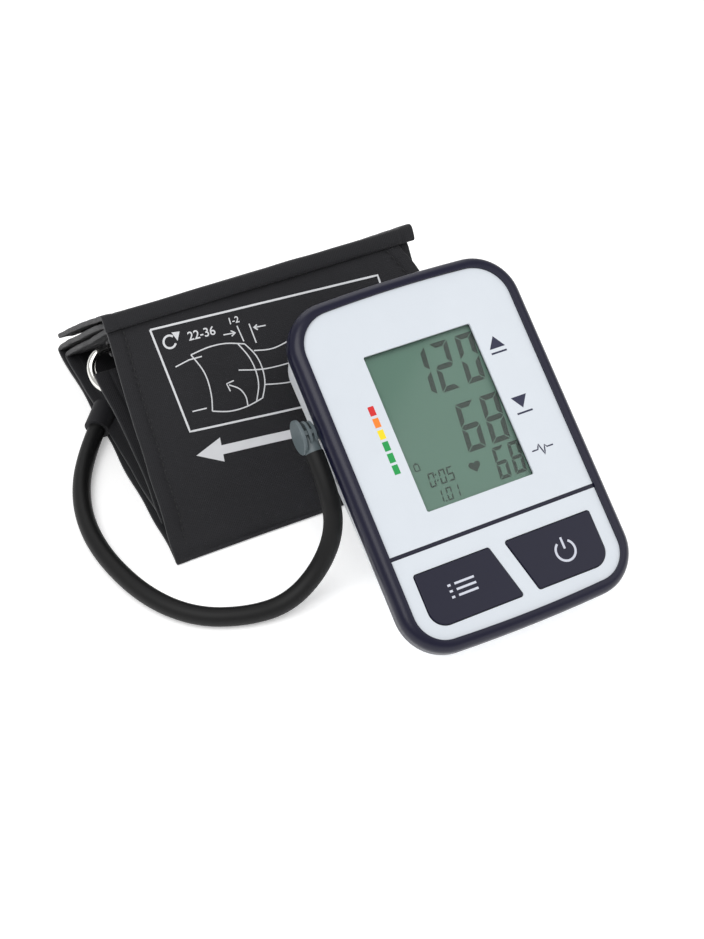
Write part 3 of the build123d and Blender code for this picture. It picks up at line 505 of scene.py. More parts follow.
@dataclass
class Strip:
    """A padded band of cloth that follows a line in the YZ plane and runs along X.

    Args:
        name: The piece's name.
        line: The band's outer line in the YZ plane.
        closed: Whether the line is a loop.
        edges: Gives the band's two ends along X at a distance along the line.
        thickness: Thickness of the band.
        seed: Place in the noise that makes its folds.
        slack: How far its surface sags inwards, in millimetres.
        hem: Width of the hem along both edges.
    """

    name: str
    line: list[Point2]
    closed: bool
    edges: Callable[[float], tuple[float, float]]
    thickness: float
    seed: float
    slack: float = 0.9
    hem: float = HEM_W

    def build(self) -> bpy.types.Object:
        """Make the band with its hems, folds and thickness.

        Returns:
            The object.
        """
        count = len(self.line)
        columns = self._columns()
        verts: list[Vector] = []
        uvs: list[Point2] = []
        along = 0.0
        for row, (y, z) in enumerate(self.line):
            if row:
                along += (Vector(self.line[row]) - Vector(self.line[row - 1])).length
            out = self._normal(row)
            x0, x1 = self.edges(along)
            for share in columns:
                x = x0 + (x1 - x0) * share
                sag = self._sag(along, x, min(x - x0, x1 - x)) * self._ease(along)
                verts.append(Vector((x, y - out.x * sag, z - out.y * sag)))
                uvs.append((along, x))
        width = len(columns)
        rows = count if self.closed else count - 1
        faces = []
        for row in range(rows):
            here, following = row * width, (row + 1) % count * width
            for col in range(width - 1):
                faces.append((here + col, following + col, following + col + 1, here + col + 1))
        made = mesh_object(self.name, verts, faces, uvs)
        thick = made.modifiers.new("thick", "SOLIDIFY")
        thick.thickness = self.thickness * MM
        thick.offset = -1.0
        soft = made.modifiers.new("soft", "SUBSURF")
        soft.levels = soft.render_levels = 1
        apply_modifiers(made)
        smoothed(made)
        LOG.info("%s: %d rows, %.0f mm long", self.name, count, along)
        return made

    def _ease(self, along: float) -> float:
        """Flatten the folds near the seam where a closed band joins.

        Args:
            along: Distance along the band.

        Returns:
            Share of the folds that is kept.
        """
        if not self.closed:
            return 1.0
        total = sum((Vector(b) - Vector(a)).length for a, b in zip(self.line, self.line[1:]))
        return min(1.0, 0.12 + min(along, total - along) / 16.0)

    def _columns(self) -> list[float]:
        """Spread the columns across the band, closer at both hems.

        Returns:
            Each column's place from 0 to 1.
        """
        width = self.edges(0.0)[1] - self.edges(0.0)[0]
        near = [d / width for d in (0, 0.7, 2.2, 4.2, 6.0, 6.8, 7.6, 9.4)]
        middle = [near[-1] + (1 - 2 * near[-1]) * n / 34 for n in range(1, 34)]
        return near + middle + [1 - d for d in reversed(near)]

    def _normal(self, row: int) -> Vector:
        """Find the outward direction at one row.

        Args:
            row: The row's number.

        Returns:
            The direction in the YZ plane.
        """
        count = len(self.line)
        if self.closed:
            before, after = self.line[row - 1], self.line[(row + 1) % count]
        else:
            before, after = self.line[max(row - 1, 0)], self.line[min(row + 1, count - 1)]
        way = (Vector(after) - Vector(before)).normalized()
        return Vector((way.y, -way.x))

    def _sag(self, along: float, x: float, from_edge: float) -> float:
        """Work out how far the cloth lies inside its line.

        Args:
            along: Distance along the band.
            x: Place across the band.
            from_edge: Distance from the nearer edge.

        Returns:
            The depth.
        """
        broad = noise.noise(Vector((along / 42, x / 48, self.seed)))
        fine = noise.noise(Vector((along / 13, x / 16, self.seed + 9)))
        folds = self.slack * (0.5 + 0.5 * broad) + 0.5 * (0.5 + 0.5 * fine)
        if from_edge >= self.hem:
            puff = 0.45
        else:
            seam = math.exp(-((from_edge - self.hem * SEAM_SHARE) / 0.7) ** 2)
            puff = 0.1 + 0.75 * seam + 0.12 * noise.noise(Vector((along / 3.5, self.seed, 1.5)))
        grip = min(1.0, 0.6 + from_edge / 30)
        return max(0.0, folds * grip + puff)


@dataclass
class Print:
    """Flat marks on a surface.

    Args:
        name: The piece's name.
        place: Turns a flat place into a point in the row frame.
    """

    name: str
    place: Callable[[float, float], Vector]

    def __post_init__(self) -> None:
        """Start with no marks."""
        self.verts: list[Vector] = []
        self.uvs: list[Point2] = []
        self.faces: list[tuple[int, ...]] = []

    def polygon(self, points: Sequence[Point2]) -> None:
        """Add one filled shape.

        Args:
            points: Its corners, anticlockwise.
        """
        first = len(self.verts)
        self.verts += [self.place(x, y) for x, y in points]
        self.uvs += list(points)
        self.faces.append(tuple(range(first, len(self.verts))))

    def line(self, points: Sequence[Point2], width: float, step: float = 2.0) -> None:
        """Add one drawn line of even width.

        Args:
            points: The line's corners.
            width: Its width.
            step: Longest piece along it.
        """
        dense: list[Vector] = [Vector(points[0])]
        for start, end in zip(points, points[1:]):
            run = (Vector(end) - Vector(start)).length
            parts = max(1, math.ceil(run / step))
            dense += [Vector(start).lerp(Vector(end), n / parts) for n in range(1, parts + 1)]
        first = len(self.verts)
        for index, here in enumerate(dense):
            way = dense[min(index + 1, len(dense) - 1)] - dense[max(index - 1, 0)]
            way.normalize()
            side = Vector((-way.y, way.x)) * width / 2
            for spot in (here + side, here - side):
                self.verts.append(self.place(spot.x, spot.y))
                self.uvs.append((spot.x, spot.y))
        for index in range(len(dense) - 1):
            at = first + 2 * index
            self.faces.append((at, at + 1, at + 3, at + 2))

    def arc(self, centre: Point2, radius: float, start: float, end: float, width: float) -> None:
        """Add part of a circle.

        Args:
            centre: Its middle.
            radius: Its radius.
            start: First angle in degrees.
            end: Last angle in degrees.
            width: The line's width.
        """
        turns = [math.radians(start + (end - start) * n / 28) for n in range(29)]
        points = [(centre[0] + radius * math.cos(a), centre[1] + radius * math.sin(a)) for a in turns]
        self.line(points, width, step=radius)

    def build(self, finish: str, shop: MaterialShop,
              over: bpy.types.Object | None = None) -> bpy.types.Object:
        """Make the marks.

        Args:
            finish: Name of their finish.
            shop: The materials.
            over: A surface that they lie on, if they follow one.

        Returns:
            The object.
        """
        made = mesh_object(self.name, self.verts, self.faces, self.uvs)
        if over is not None:
            wrap = made.modifiers.new("wrap", "SHRINKWRAP")
            wrap.target = over
            wrap.wrap_method = "NEAREST_SURFACEPOINT"
            wrap.wrap_mode = "ABOVE_SURFACE"
            wrap.offset = 0.12 * MM
            apply_modifiers(made)
        made.data.materials.append(shop.get(finish))
        LOG.info("%s: %d marks", self.name, len(self.faces))
        return made


SEGMENTS: dict[str, str] = {
    "0": "abcdef", "1": "bc", "2": "abged", "5": "afgcd", "6": "afgedc", "8": "abcdefg",
}


def digit(target: Print, shape: str, at: Point2, size: Point2, stroke: float, lean: float) -> None:
    """Add one seven-segment digit.

    Args:
        target: The print that it joins.
        shape: The digit.
        at: Its lower left corner.
        size: Its width and height.
        stroke: Width of its segments.
        lean: How far its top stands to the right of its foot.
    """
    w, h = size
    t, g = stroke, stroke * 0.09
    m = h / 2
    shapes: dict[str, list[Point2]] = {
        "a": [(g, h), (t + g, h - t), (w - t - g, h - t), (w - g, h)],
        "d": [(t + g, t), (g, 0), (w - g, 0), (w - t - g, t)],
        "g": [
            (g, m), (t / 2 + g, m - t / 2), (w - t / 2 - g, m - t / 2),
            (w - g, m), (w - t / 2 - g, m + t / 2), (t / 2 + g, m + t / 2),
        ],
        "f": [(0, m + 2 * g), (t / 2, m + t / 2 + g), (t, m + t + g), (t, h - t - g), (0, h - 2 * g)],
        "b": [
            (w, h - 2 * g), (w - t, h - t - g), (w - t, m + t + g),
            (w - t / 2, m + t / 2 + g), (w, m + 2 * g),
        ],
        "e": [(0, 2 * g), (t, t + g), (t, m - t - g), (t / 2, m - t / 2 - g), (0, m - 2 * g)],
        "c": [(w, m - 2 * g), (w - t / 2, m - t / 2 - g), (w - t, m - t - g), (w - t, t + g), (w, 2 * g)],
    }
    for key in SEGMENTS[shape]:
        target.polygon([(at[0] + x + lean * y / h, at[1] + y) for x, y in shapes[key]])


def heart(target: Print, centre: Point2, size: float) -> None:
    """Add a filled heart.

    Args:
        target: The print that it joins.
        centre: Its middle.
        size: Its width.
    """
    points = []
    for n in range(36):
        a = -2 * math.pi * n / 36
        x = 16 * math.sin(a) ** 3
        y = 13 * math.cos(a) - 5 * math.cos(2 * a) - 2 * math.cos(3 * a) - math.cos(4 * a)
        points.append((centre[0] + x * size / 32, centre[1] + y * size / 32))
    target.polygon(points)


def stitches(name: str, points: Sequence[Vector], normal: Callable[[int], Vector],
             shop: MaterialShop) -> bpy.types.Object:
    """Make a row of thread stitches along a line.

    Args:
        name: The piece's name.
        points: The line in millimetres.
        normal: Outward direction at each point's number.
        shop: The materials.

    Returns:
        The object.
    """
    verts: list[Vector] = []
    faces: list[tuple[int, ...]] = []
    pitch, length, radius = 2.8, 1.9, 0.26
    left = 0.0
    for index, (start, end) in enumerate(zip(points, points[1:])):
        way = end - start
        run = way.length
        way.normalize()
        up = normal(index)
        side = way.cross(up)
        while left + length < run:
            first = len(verts)
            for share, size in ((0.0, 0.35), (0.25, 1.0), (0.75, 1.0), (1.0, 0.35)):
                here = start + way * (left + length * share) + up * (radius * 0.5 * (size - 0.35))
                for n in range(6):
                    a = n * math.pi / 3
                    verts.append(here + (side * math.cos(a) + up * math.sin(a)) * radius * size)
            for ring in range(3):
                for n in range(6):
                    one, two = first + ring * 6 + n, first + ring * 6 + (n + 1) % 6
                    faces.append((one, two, two + 6, one + 6))
            left += pitch
        left -= run
        left = max(left, 0.0)
    made = mesh_object(name, verts, faces)
    LOG.info("%s: %d faces", name, len(faces))
    smoothed(made)
    made.data.materials.append(shop.get("thread_black"))
    return made


def keep(made: bpy.types.Object, material: bpy.types.Material, body: str, slot: str, *nodes: str) -> None:
    """Finish one piece: material, body and the CAD nodes that it stands for.

    Args:
        made: The piece.
        material: Its material, if it has none yet.
        body: The CAD body that it rides on.
        slot: Not used.
        nodes: CAD nodes that it replaces.
    """
    if not made.data.materials:
        made.data.materials.append(material)
    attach(made, body)
    if nodes:
        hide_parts(*nodes)


@dataclass
class Studio:
    """The camera, the floor, the soft lights and the pale surroundings.

    Args:
        shop: The materials.
        lens: The camera's focal length.
        sensor: Width of its sensor.
        eye: Where the camera stands.
        right: The way that its picture's right side points.
        ahead: The way that it looks.
        floor_half: Half the floor's width.
        floor_glow: How much light the floor gives by itself.
        sky: How bright the surroundings are.
        lamps: Name, place in metres, width in metres and power in watts of each soft light.
    """

    shop: MaterialShop
    lens: float = 61.58
    sensor: float = 36.0
    eye: tuple[float, ...] = (-219.75, -475.8, 517.97)
    right: tuple[float, ...] = (0.8959, -0.4443, 0.0)
    ahead: tuple[float, ...] = (0.3157, 0.6367, -0.7036)
    floor_half: float = 8000.0
    floor_glow: float = 0.3
    sky: float = 0.55
    lamps: tuple[tuple[str, tuple[float, ...], float, float], ...] = (
        ("key_light", (-0.55, -0.25, 1.25), 1.1, 10.5),
        ("fill_light", (0.9, -0.7, 0.9), 1.2, 4.0),
        ("back_light", (0.2, 1.1, 0.9), 1.0, 3.5),
    )

    def camera(self) -> None:
        """Place the camera."""
        data = bpy.data.cameras.new("camera")
        data.lens = self.lens
        data.sensor_width = self.sensor
        data.clip_start, data.clip_end = 0.01, 20.0
        made = bpy.data.objects.new("camera", data)
        right = Vector(self.right).normalized()
        ahead = Vector(self.ahead).normalized()
        up = right.cross(ahead).normalized()
        turn = Matrix((right, up, -ahead)).transposed().to_4x4()
        made.matrix_world = Matrix.Translation(Vector(self.eye) * MM) @ turn
        bpy.context.collection.objects.link(made)
        bpy.context.scene.camera = made

    def floor(self) -> None:
        """Make the white floor, which glows a little."""
        ends = ((-1, -1), (1, -1), (1, 1), (-1, 1))
        places = [Vector((x * self.floor_half, y * self.floor_half, 0)) for x, y in ends]
        made = mesh_object("floor", places, [(0, 1, 2, 3)])
        pale = self.shop.get("floor")
        surface = pale.node_tree.nodes["Principled BSDF"]
        surface.inputs["Emission Color"].default_value = (1.0, 1.0, 1.0, 1.0)
        surface.inputs["Emission Strength"].default_value = self.floor_glow
        made.data.materials.append(pale)

    def lights(self) -> None:
        """Make the soft lights, each aimed at the middle of the object."""
        for name, place, width, power in self.lamps:
            data = bpy.data.lights.new(name, "AREA")
            data.size = width
            data.energy = power
            made = bpy.data.objects.new(name, data)
            made.location = place
            made.rotation_mode = "QUATERNION"
            made.rotation_quaternion = (-Vector(place)).to_track_quat("-Z", "Y")
            bpy.context.collection.objects.link(made)

    def surroundings(self) -> None:
        """Make the pale sky and set plain colours for the picture."""
        world = bpy.data.worlds.new("surroundings")
        world.use_nodes = True
        backdrop = world.node_tree.nodes["Background"]
        backdrop.inputs["Color"].default_value = (1.0, 1.0, 1.0, 1.0)
        backdrop.inputs["Strength"].default_value = self.sky
        bpy.context.scene.world = world
        bpy.context.scene.view_settings.view_transform = "Standard"


@dataclass
class AirTube:
    """The black tube from the plug to the cuff.

    Args:
        shop: The materials.
        nodes: Not used.
        diameter: The tube's diameter.
        rings: How finely its section is rounded.
        steps: How finely each stretch of its spline is drawn.
    """

    shop: MaterialShop
    nodes: dict[str, bpy.types.Object]
    diameter: float = TUBE_D
    rings: int = 10
    steps: int = 24

    def build(self) -> None:
        """Make the tube as one smooth spline."""
        data = bpy.data.curves.new("air_tube_line", "CURVE")
        data.dimensions = "3D"
        data.resolution_u = self.steps
        data.bevel_depth = self.diameter / 2 * MM
        data.bevel_resolution = self.rings
        data.use_fill_caps = True
        spline = data.splines.new("NURBS")
        spline.points.add(len(TUBE_ROUTE) - 1)
        for point, place in zip(spline.points, TUBE_ROUTE):
            point.co = (*(value * MM for value in place), 1.0)
        spline.order_u = 3
        spline.use_endpoint_u = True
        data.materials.append(self.shop.get("tube_black"))
        made = bpy.data.objects.new("air_tube_line", data)
        bpy.context.collection.objects.link(made)
        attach(made, "cuff_set")
        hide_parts("air_tube")
        LOG.info("air_tube_line: %d control points", len(TUBE_ROUTE))


@dataclass
class Cuff:
    """The rolled band, its flap, pads and strap, its seams and its print.

    Args:
        shop: The materials.
        fold_radii: Radii of the near, back and top folds.
        outer_slack: How far the outer turn sags.
        inner_slack: How far the inner turn sags.
        flap_thickness: Thickness of the flap.
        flap_end: Distance from the flap's free end to the back fold.
        flap_flat: Length of the flap that lies on the back face.
        flap_reach: Distance up the front face to the flap's other end.
        pad_span: Distances from the flap's free end to both ends of a pad.
        pad_margin: Distance from a pad to the hem.
        pad_thickness: Thickness of a pad.
        ring_middle: The ring's middle in the YZ plane.
        ring_lean: The ring's lean in degrees.
        bar_reach: Distance from the ring's middle to its upper bar.
        loop_radius: Radius of the strap round that bar.
        strap_margin: Distance from the strap to the hem.
        strap_thickness: Thickness of the strap.
    """

    shop: MaterialShop
    fold_radii: tuple[float, ...] = (1.6, 7.0, 9.0)
    outer_slack: float = 1.9
    inner_slack: float = 1.3
    flap_thickness: float = 2.2
    flap_end: float = 14.0
    flap_flat: float = 66.0
    flap_reach: float = 105.0
    pad_span: tuple[float, float] = (12.0, 60.0)
    pad_margin: float = 12.0
    pad_thickness: float = 0.85
    ring_middle: Point2 = (56.0, 46.0)
    ring_lean: float = 45.0
    bar_reach: float = 9.0
    loop_radius: float = 4.4
    strap_margin: float = 8.0
    strap_thickness: float = 1.9

    def build(self) -> None:
        """Make the whole cuff."""
        near, back, top = corners(0.0)
        outline = rounded_line([near, back, top], self.fold_radii, 3.2, True)
        outer = self.outer_turn(outline)
        self.inner_turn()
        self.flap()
        self.ring_loop()
        self.seams(outline)
        self.front_print(outer)

    def cloth(self, made: bpy.types.Object, fill: float, *nodes: str, finish: str = "nylon_black") -> None:
        """Finish one padded piece of the cuff.

        Args:
            made: The piece.
            fill: Not used.
            nodes: CAD nodes that it replaces.
            finish: Name of its finish.
        """
        keep(made, self.shop.get(finish), "cuff_set", finish, *nodes)

    def outer_turn(self, outline: list[Point2]) -> bpy.types.Object:
        """Make the outer turn of the band.

        Args:
            outline: The line that it follows.

        Returns:
            The outer turn.
        """
        made = Strip("cuff_band_outer", outline, True, outer_edges, LAYER_T, 3.7, self.outer_slack).build()
        self.cloth(made, 0.25, "cuff_shell")
        return made

    def inner_turn(self) -> None:
        """Make the inner turn, which runs from the ring round the inside of the outer one."""
        low = corners(2.9)
        deep = corners(5.8)
        points = [
            (53.5, 49.2),
            (deep[0][0] + 4.5, deep[0][1] + 0.6),
            (low[1][0] - 3.0, low[1][1]),
            low[2],
            (low[0][0] + 16.0, low[0][1] + 20.8),
        ]
        line = rounded_line(points, [0.0, 2.6, 5.0, 6.0, 0.0], 3.4, False)
        made = Strip("cuff_band_inner", line, False, inner_edges, LAYER_T, 8.1, self.inner_slack).build()
        self.cloth(made, 0.25, "cuff_lining", "air_bladder")

    def flap(self) -> None:
        """Make the band's free end on the back face, with its two pads of hook and loop."""
        slope = (Vector(BACK) - Vector(TOP)).normalized()
        out = Vector((-slope.y, slope.x))
        half = (Vector(BACK) - Vector(TOP)).length / 2
        middle = (Vector(BACK) + Vector(TOP)) / 2

        def spot(down: float, lift: float) -> Point2:
            """Place on the back face, down from its middle and lifted off it."""
            place = middle + slope * down + out * lift
            return (place.x, place.y)

        end = half - self.flap_end
        rise = (Vector(TOP) - Vector(NEAR)).normalized()
        front = Vector(NEAR) + rise * self.flap_reach + Vector((-rise.y, rise.x)) * 1.7
        fold = inset_corner(TOP, NEAR, BACK, -2.6)
        points = [spot(end, 4.2), spot(end - self.flap_flat, 4.0), fold, (front.x, front.y)]
        line = rounded_line(points, [0.0, 60.0, 4.5, 0.0], 2.2, False)
        made = Strip("cuff_end_flap", line, False, flap_edges, self.flap_thickness, 5.3, 0.5).build()
        self.cloth(made, 0.15, "cuff_flap")
        first, last = self.pad_span
        for level, name in ((0, "loop_patch"), (1, "hook_patch")):
            high = 0.9 * (level + 1)
            pad_line = rounded_line([spot(end - first, high), spot(end - last, high)], [0.0, 0.0], 2.4, False)
            pad = Strip(f"{name}_pad", pad_line, False, straight_edges(self.pad_margin), self.pad_thickness,
                        2.2 + level, 0.1, 0.1).build()
            self.cloth(pad, 0.1, name, finish="pile_black")

    def ring_loop(self) -> None:
        """Make the strap that goes round the ring's upper bar and up the inside of the back face."""
        lean = math.radians(self.ring_lean)
        middle_y, middle_z = self.ring_middle
        bar = Vector((middle_y + self.bar_reach * math.cos(lean), middle_z + self.bar_reach * math.sin(lean)))
        foot, high = (Vector(corner) for corner in corners(5.3)[1:])
        slope = (high - foot).normalized()
        seat = foot + slope * (bar - foot).dot(slope)
        line: list[Point2] = []
        for n in range(13):
            a = math.radians(-150 + 225 * n / 12)
            line.append((bar.x + self.loop_radius * math.cos(a), bar.y + self.loop_radius * math.sin(a)))
        for n in range(9):
            here = seat + slope * (9.0 + 2.4 * n)
            line.append((here.x, here.y))
        made = Strip("ring_strap_loop", line, False, straight_edges(self.strap_margin), self.strap_thickness,
                     6.6, 0.15, 5.0).build()
        self.cloth(made, 0.1, "ring_strap")

    def seams(self, outline: list[Point2]) -> None:
        """Make the stitches along both hems of the outer turn.

        Args:
            outline: The band's outer line.
        """
        count = len(outline)
        lengths = [0.0]
        for one, two in zip(outline, outline[1:]):
            lengths.append(lengths[-1] + (Vector(two) - Vector(one)).length)

        def away(index: int) -> Vector:
            """Outward direction at one point of the line."""
            before, after = Vector(outline[index - 1]), Vector(outline[(index + 1) % count])
            way = (after - before).normalized()
            return Vector((0.0, way.y, -way.x))

        for name, end, sign in (("left_seam", 0, 1), ("right_seam", 1, -1)):
            points = []
            for index, (y, z) in enumerate(outline):
                x = outer_edges(lengths[index])[end] + sign * HEM_W * SEAM_SHARE
                points.append(Vector((x, y, z)) - away(index) * 0.75)
            made = stitches(name, points, away, self.shop)
            keep(made, self.shop.get("thread_black"), "cuff_set", "nylon_black")

    def front_print(self, over: bpy.types.Object) -> None:
        """Print the frame, the fitting sketch, the arrow and the numbers on the front face.

        Args:
            over: The band that the print lies on.
        """
        rise = (Vector(TOP) - Vector(NEAR)).normalized()

        def place(x: float, up: float) -> Vector:
            """Place on the front face, at X and at a distance up from the near fold."""
            return Vector((x, NEAR[0] + rise.x * up, NEAR[1] + rise.y * up))

        marks = Print("cuff_print", place)
        frame = [(-62.5, 101.3), (44.2, 95.1), (47.5, 43.8), (-58.6, 54.5), (-62.5, 101.3)]
        marks.line(frame, 0.9)
        marks.line([(-14.5, 39.4), (-32.0, 41.1), (-49.0, 42.7)], 4.0)
        marks.polygon([(-58.9, 43.7), (-47.6, 37.3), (-46.6, 48.0)])
        for points in sketch_lines():
            marks.line(curved(points), 0.55)
        marks.arc((-55.8, 94.0), 2.7, 40, 330, 0.9)
        marks.polygon([(-53.9, 97.6), (-52.3, 93.4), (-50.3, 97.0)])
        made = marks.build("print_white", self.shop, over)
        keep(made, self.shop.get("print_white"), "cuff_set", "nylon_black")
        self.numbers("range_numbers", "22-36", (-47.5, 92.0), 5.4, place, over)
        self.numbers("gap_numbers", "1-2", (-28.5, 93.6), 4.0, place, over)

    def numbers(self, name: str, text: str, at: Point2, size: float,
                place: Callable[[float, float], Vector], over: bpy.types.Object) -> None:
        """Print plain numbers on the band.

        Args:
            name: The piece's name.
            text: The numbers.
            at: Lower left corner on the face.
            size: Height of the letters' line.
            place: Turns a flat place into a point in the row frame.
            over: The band that they lie on.
        """
        data = bpy.data.curves.new(name, "FONT")
        data.body = text
        data.size = size
        data.offset = 0.06
        drawn = bpy.data.objects.new(name + "_draft", data)
        bpy.context.collection.objects.link(drawn)
        bpy.context.view_layer.update()
        flat = bpy.data.meshes.new_from_object(drawn)
        bpy.data.objects.remove(drawn)
        verts = [place(at[0] + v.co.x, at[1] + v.co.y - NUMBER_SLOPE * v.co.x) for v in flat.vertices]
        uvs = [(v.co.x, v.co.y) for v in flat.vertices]
        faces = [tuple(p.vertices) for p in flat.polygons]
        made = mesh_object(name, verts, faces, uvs)
        wrap = made.modifiers.new("wrap", "SHRINKWRAP")
        wrap.target = over
        wrap.wrap_mode = "ABOVE_SURFACE"
        wrap.offset = 0.14 * MM
        apply_modifiers(made)
        LOG.info("%s: %s", name, text)
        keep(made, self.shop.get("print_white"), "cuff_set", "nylon_black")


@dataclass
class Monitor:
    """The monitor's CAD pieces, its display and its printed signs.

    Args:
        shop: The materials.
        nodes: The CAD nodes by name.
        tilt: The panel's tilt in degrees.
        big_digit: Width and height of the upper reading's digits.
        middle_digit: Width and height of the middle reading's digits.
        pulse_digit: Width and height of the pulse's digits.
        bar: Left end, right end and half height of a bar of the scale.
    """

    shop: MaterialShop
    nodes: dict[str, bpy.types.Object]
    tilt: float = PANEL_TILT
    big_digit: Point2 = (8.4, 21.7)
    middle_digit: Point2 = (8.6, 21.1)
    pulse_digit: Point2 = (5.5, 14.0)
    bar: tuple[float, float, float] = (-32.1, -29.4, 2.05)

    def dress(self) -> None:
        """Give each CAD piece that stays its material, on the cuff too."""
        for name, finish in {**CAD_FINISH, "display_lens": "clear_window"}.items():
            for place in self.nodes[name].material_slots:
                place.material = self.shop.get(finish)
            LOG.info("%s: %s", name, finish)

    def on_panel(self, height: float, shift: Point2 = (0.0, 0.0)) -> Callable[[float, float], Vector]:
        """Give the function that places flat marks on the panel.

        Args:
            height: Height over the panel.
            shift: Moves every mark.

        Returns:
            The placing function.
        """
        frame = Matrix.Translation(Vector(PANEL_ORIGIN)) @ Matrix.Rotation(math.radians(self.tilt), 4, "X")
        return lambda x, y: frame @ Vector((x + shift[0], y + shift[1], height))

    def display(self) -> None:
        """Draw the digits and signs on the liquid crystal."""
        marks = Print("display_segments", self.on_panel(LCD_TOP + PRINT_LIFT, (1.1, 0.5)))
        for shape, x in (("1", -9.0), ("2", 1.9), ("0", 14.1)):
            digit(marks, shape, (x, 24.3), self.big_digit, 2.3, 2.5)
        for shape, x in (("6", 2.0), ("8", 13.6)):
            digit(marks, shape, (x, -3.3), self.middle_digit, 2.3, 2.5)
        for shape, x in (("6", 10.5), ("8", 17.9)):
            digit(marks, shape, (x, -18.7), self.pulse_digit, 1.55, 1.7)
        for shape, x in (("0", -19.6), ("0", -14.6), ("5", -10.9)):
            digit(marks, shape, (x, -12.0), (2.9, 6.2), 0.7, 0.7)
        for y in (-10.2, -7.6):
            marks.polygon([(-15.9, y), (-15.2, y), (-15.1, y + 0.7), (-15.8, y + 0.7)])
        for shape, x in (("1", -18.9), ("0", -14.5), ("1", -11.1)):
            digit(marks, shape, (x, -19.4), (2.6, 5.6), 0.62, 0.6)
        marks.polygon([(-15.6, -19.4), (-15.0, -19.4), (-15.0, -18.8), (-15.6, -18.8)])
        heart(marks, (2.2, -9.4), 5.4)
        marks.line([(-23.0, -3.4), (-20.9, -3.4), (-20.9, -0.6), (-23.0, -0.6), (-23.0, -3.4)], 0.5)
        marks.polygon([(-22.4, -0.4), (-21.5, -0.4), (-21.5, 0.1), (-22.4, 0.1)])
        made = marks.build("segment_dark", self.shop)
        keep(made, self.shop.get("segment_dark"), "monitor", "lcd_glass")

    def face_print(self) -> None:
        """Print the coloured scale and the signs beside the display."""
        place = self.on_panel(PLATE_TOP + PRINT_LIFT)
        left, right, half = self.bar
        for name, finish, heights in (
            ("scale_red", "bar_red", (26.45,)), ("scale_orange", "bar_orange", (21.15,)),
            ("scale_yellow", "bar_yellow", (15.85,)), ("scale_green", "bar_green", (10.6, 5.35, 0.15)),
        ):
            bar = Print(name, place)
            for y in heights:
                bar.polygon([(left, y - half), (right, y - half), (right, y + half), (left, y + half)])
            made = bar.build(finish, self.shop)
            keep(made, self.shop.get(finish), "monitor", "white_plastic")
        signs = Print("reading_signs", place)
        signs.polygon([(29.0, 35.2), (36.4, 35.2), (32.7, 40.6)])
        signs.line([(29.0, 33.2), (36.4, 33.2)], 0.8)
        signs.polygon([(32.7, 7.2), (36.4, 12.6), (29.0, 12.6)])
        signs.line([(29.0, 5.2), (36.4, 5.2)], 0.8)
        pulse = [
            (28.4, -11.8), (31.2, -11.8), (32.2, -9.6), (33.6, -14.6),
            (34.8, -10.6), (35.6, -11.8), (38.6, -11.8),
        ]
        signs.line(pulse, 0.6)
        made = signs.build("print_navy", self.shop)
        keep(made, self.shop.get("print_navy"), "monitor", "white_plastic")

    def key_print(self) -> None:
        """Print the signs on the two keys."""
        place = self.on_panel(KEY_TOP + PRINT_LIFT)
        store = Print("memory_sign", place)
        for y in (-51.8, -54.3, -56.8):
            store.line([(-26.6, y), (-17.6, y)], 0.95)
            store.line([(-29.8, y), (-28.4, y)], 0.95)
        made = store.build("key_white", self.shop)
        keep(made, self.shop.get("key_white"), "mem_key", "navy_plastic")
        power = Print("power_sign", place)
        power.arc((24.4, -55.4), 4.4, -235, 55, 1.0)
        power.line([(24.4, -49.6), (24.4, -54.6)], 1.0)
        made = power.build("key_white", self.shop)
        keep(made, self.shop.get("key_white"), "start_key", "navy_plastic")


def outer_edges(along: float) -> tuple[float, float]:
    """Ends of the outer band along X, narrower on the right over the top fold.

    Args:
        along: Distance along the band from the near fold.

    Returns:
        The left and the right end.
    """
    near_top = math.exp(-((along - TOP_FOLD_AT) / 13.0) ** 2)
    wave = 0.5 + 1.1 * noise.noise(Vector((along / 22, 4.4, 0.0)))
    return LEFT_X + 0.6 + wave, RIGHT_X - 0.6 - 9.0 * near_top + wave


def inner_edges(along: float) -> tuple[float, float]:
    """Ends of the inner turn along X, fuller on the left beside the ring.

    Args:
        along: Distance along the turn from the ring.

    Returns:
        The left and the right end.
    """
    full = 4.5 * math.exp(-((along / 26.0) ** 2))
    wave = 0.8 * noise.noise(Vector((along / 19, 7.7, 0.0)))
    return LEFT_X + 2.0 - full + wave, RIGHT_X - 2.5 + wave


def flap_edges(along: float) -> tuple[float, float]:
    """Ends of the flap along X, with rounded corners at its free end.

    Args:
        along: Distance from the free end.

    Returns:
        The left and the right end.
    """
    radius = 8.0
    short = max(0.0, radius - along)
    pull = radius - math.sqrt(max(0.0, radius ** 2 - short ** 2))
    return LEFT_X + 0.5 + pull, RIGHT_X - 0.5 - pull


def straight_edges(margin: float) -> Callable[[float], tuple[float, float]]:
    """Give a narrower piece's even ends along X.

    Args:
        margin: Distance from the band's ends.

    Returns:
        The function that gives the left and the right end.
    """
    return lambda along: (LEFT_X + margin, RIGHT_X - margin)


def curved(points: Sequence[Point2]) -> list[Point2]:
    """Draw a smooth line through points.

    Args:
        points: The points.

    Returns:
        Closer points along the smooth line.
    """
    if len(points) < 4:
        return list(points)
    ends = [points[0], *points, points[-1]]
    line: list[Point2] = []
    for a, b, c, d in zip(ends, ends[1:], ends[2:], ends[3:]):
        for n in range(5):
            t = n / 5
            line.append(tuple(
                0.5 * (2 * q + (r - p) * t + (2 * p - 5 * q + 4 * r - u) * t ** 2
                       + (3 * q - p - 3 * r + u) * t ** 3)
                for p, q, r, u in zip(a, b, c, d)
            ))
    return line + [points[-1]]


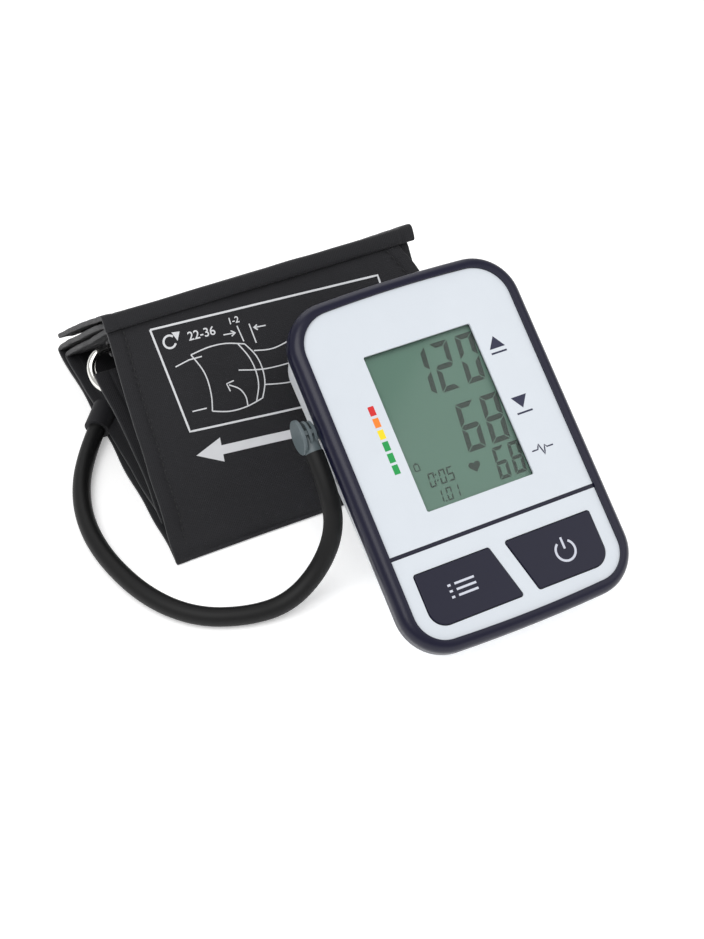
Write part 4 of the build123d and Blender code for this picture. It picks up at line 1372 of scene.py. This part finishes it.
def sketch_lines() -> list[list[Point2]]:
    """Lines of a plain fitting sketch: an arm with a band round it.

    Returns:
        One list of points for each line.
    """
    return [
        [(-56.5, 83.0), (-50.0, 84.2), (-44.0, 84.0)],
        [(-55.0, 62.5), (-48.5, 62.0)],
        [(-48.5, 86.0), (-45.6, 79.0), (-44.6, 73.0), (-45.0, 66.0), (-46.5, 60.0)],
        [(-48.5, 86.0), (-40.0, 86.9), (-32.0, 86.2), (-24.0, 83.6)],
        [(-46.5, 60.0), (-39.0, 57.6), (-31.0, 57.2), (-23.0, 58.6)],
        [(-24.0, 83.6), (-20.6, 77.5), (-19.4, 71.0), (-20.2, 64.5), (-23.0, 58.6)],
        [(-27.0, 84.7), (-23.8, 77.8), (-22.6, 71.0), (-23.2, 64.5), (-26.0, 58.2)],
        [(-20.8, 79.6), (-12.0, 78.0), (0.0, 79.6), (16.0, 79.6), (38.0, 75.5)],
        [(-20.6, 64.0), (-8.0, 61.5), (6.0, 62.5), (22.0, 60.5), (40.0, 58.0)],
        [(-30.0, 73.5), (-18.0, 70.5), (-2.0, 69.5), (18.0, 69.0)],
        [(-25.0, 92.0), (-24.0, 84.8)],
        [(-19.5, 91.4), (-18.8, 82.5)],
        [(-32.0, 90.0), (-26.5, 89.4)],
        [(-28.4, 90.8), (-26.5, 89.4), (-28.6, 88.4)],
        [(-12.5, 88.6), (-18.0, 89.2)],
        [(-16.2, 90.0), (-18.0, 89.2), (-16.4, 87.8)],
        [(-30.4, 57.6), (-30.2, 61.6), (-32.0, 65.6), (-36.0, 68.6)],
        [(-36.2, 65.8), (-36.9, 69.4), (-33.4, 69.8)],
    ]


def main() -> None:
    """Load the frame and build the pieces."""
    logging.basicConfig(level=logging.INFO, format="%(name)s %(message)s")
    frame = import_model()
    nodes = frame["nodes"]
    shop = MaterialShop()
    studio = Studio(shop)
    monitor = Monitor(shop, nodes)
    studio.camera()
    AirTube(shop, nodes).build()
    studio.floor()
    studio.lights()
    studio.surroundings()
    monitor.dress()
    Cuff(shop).build()
    monitor.display()
    monitor.face_print()
    monitor.key_print()
    bpy.context.view_layer.update()


if __name__ == "__main__":
    main()
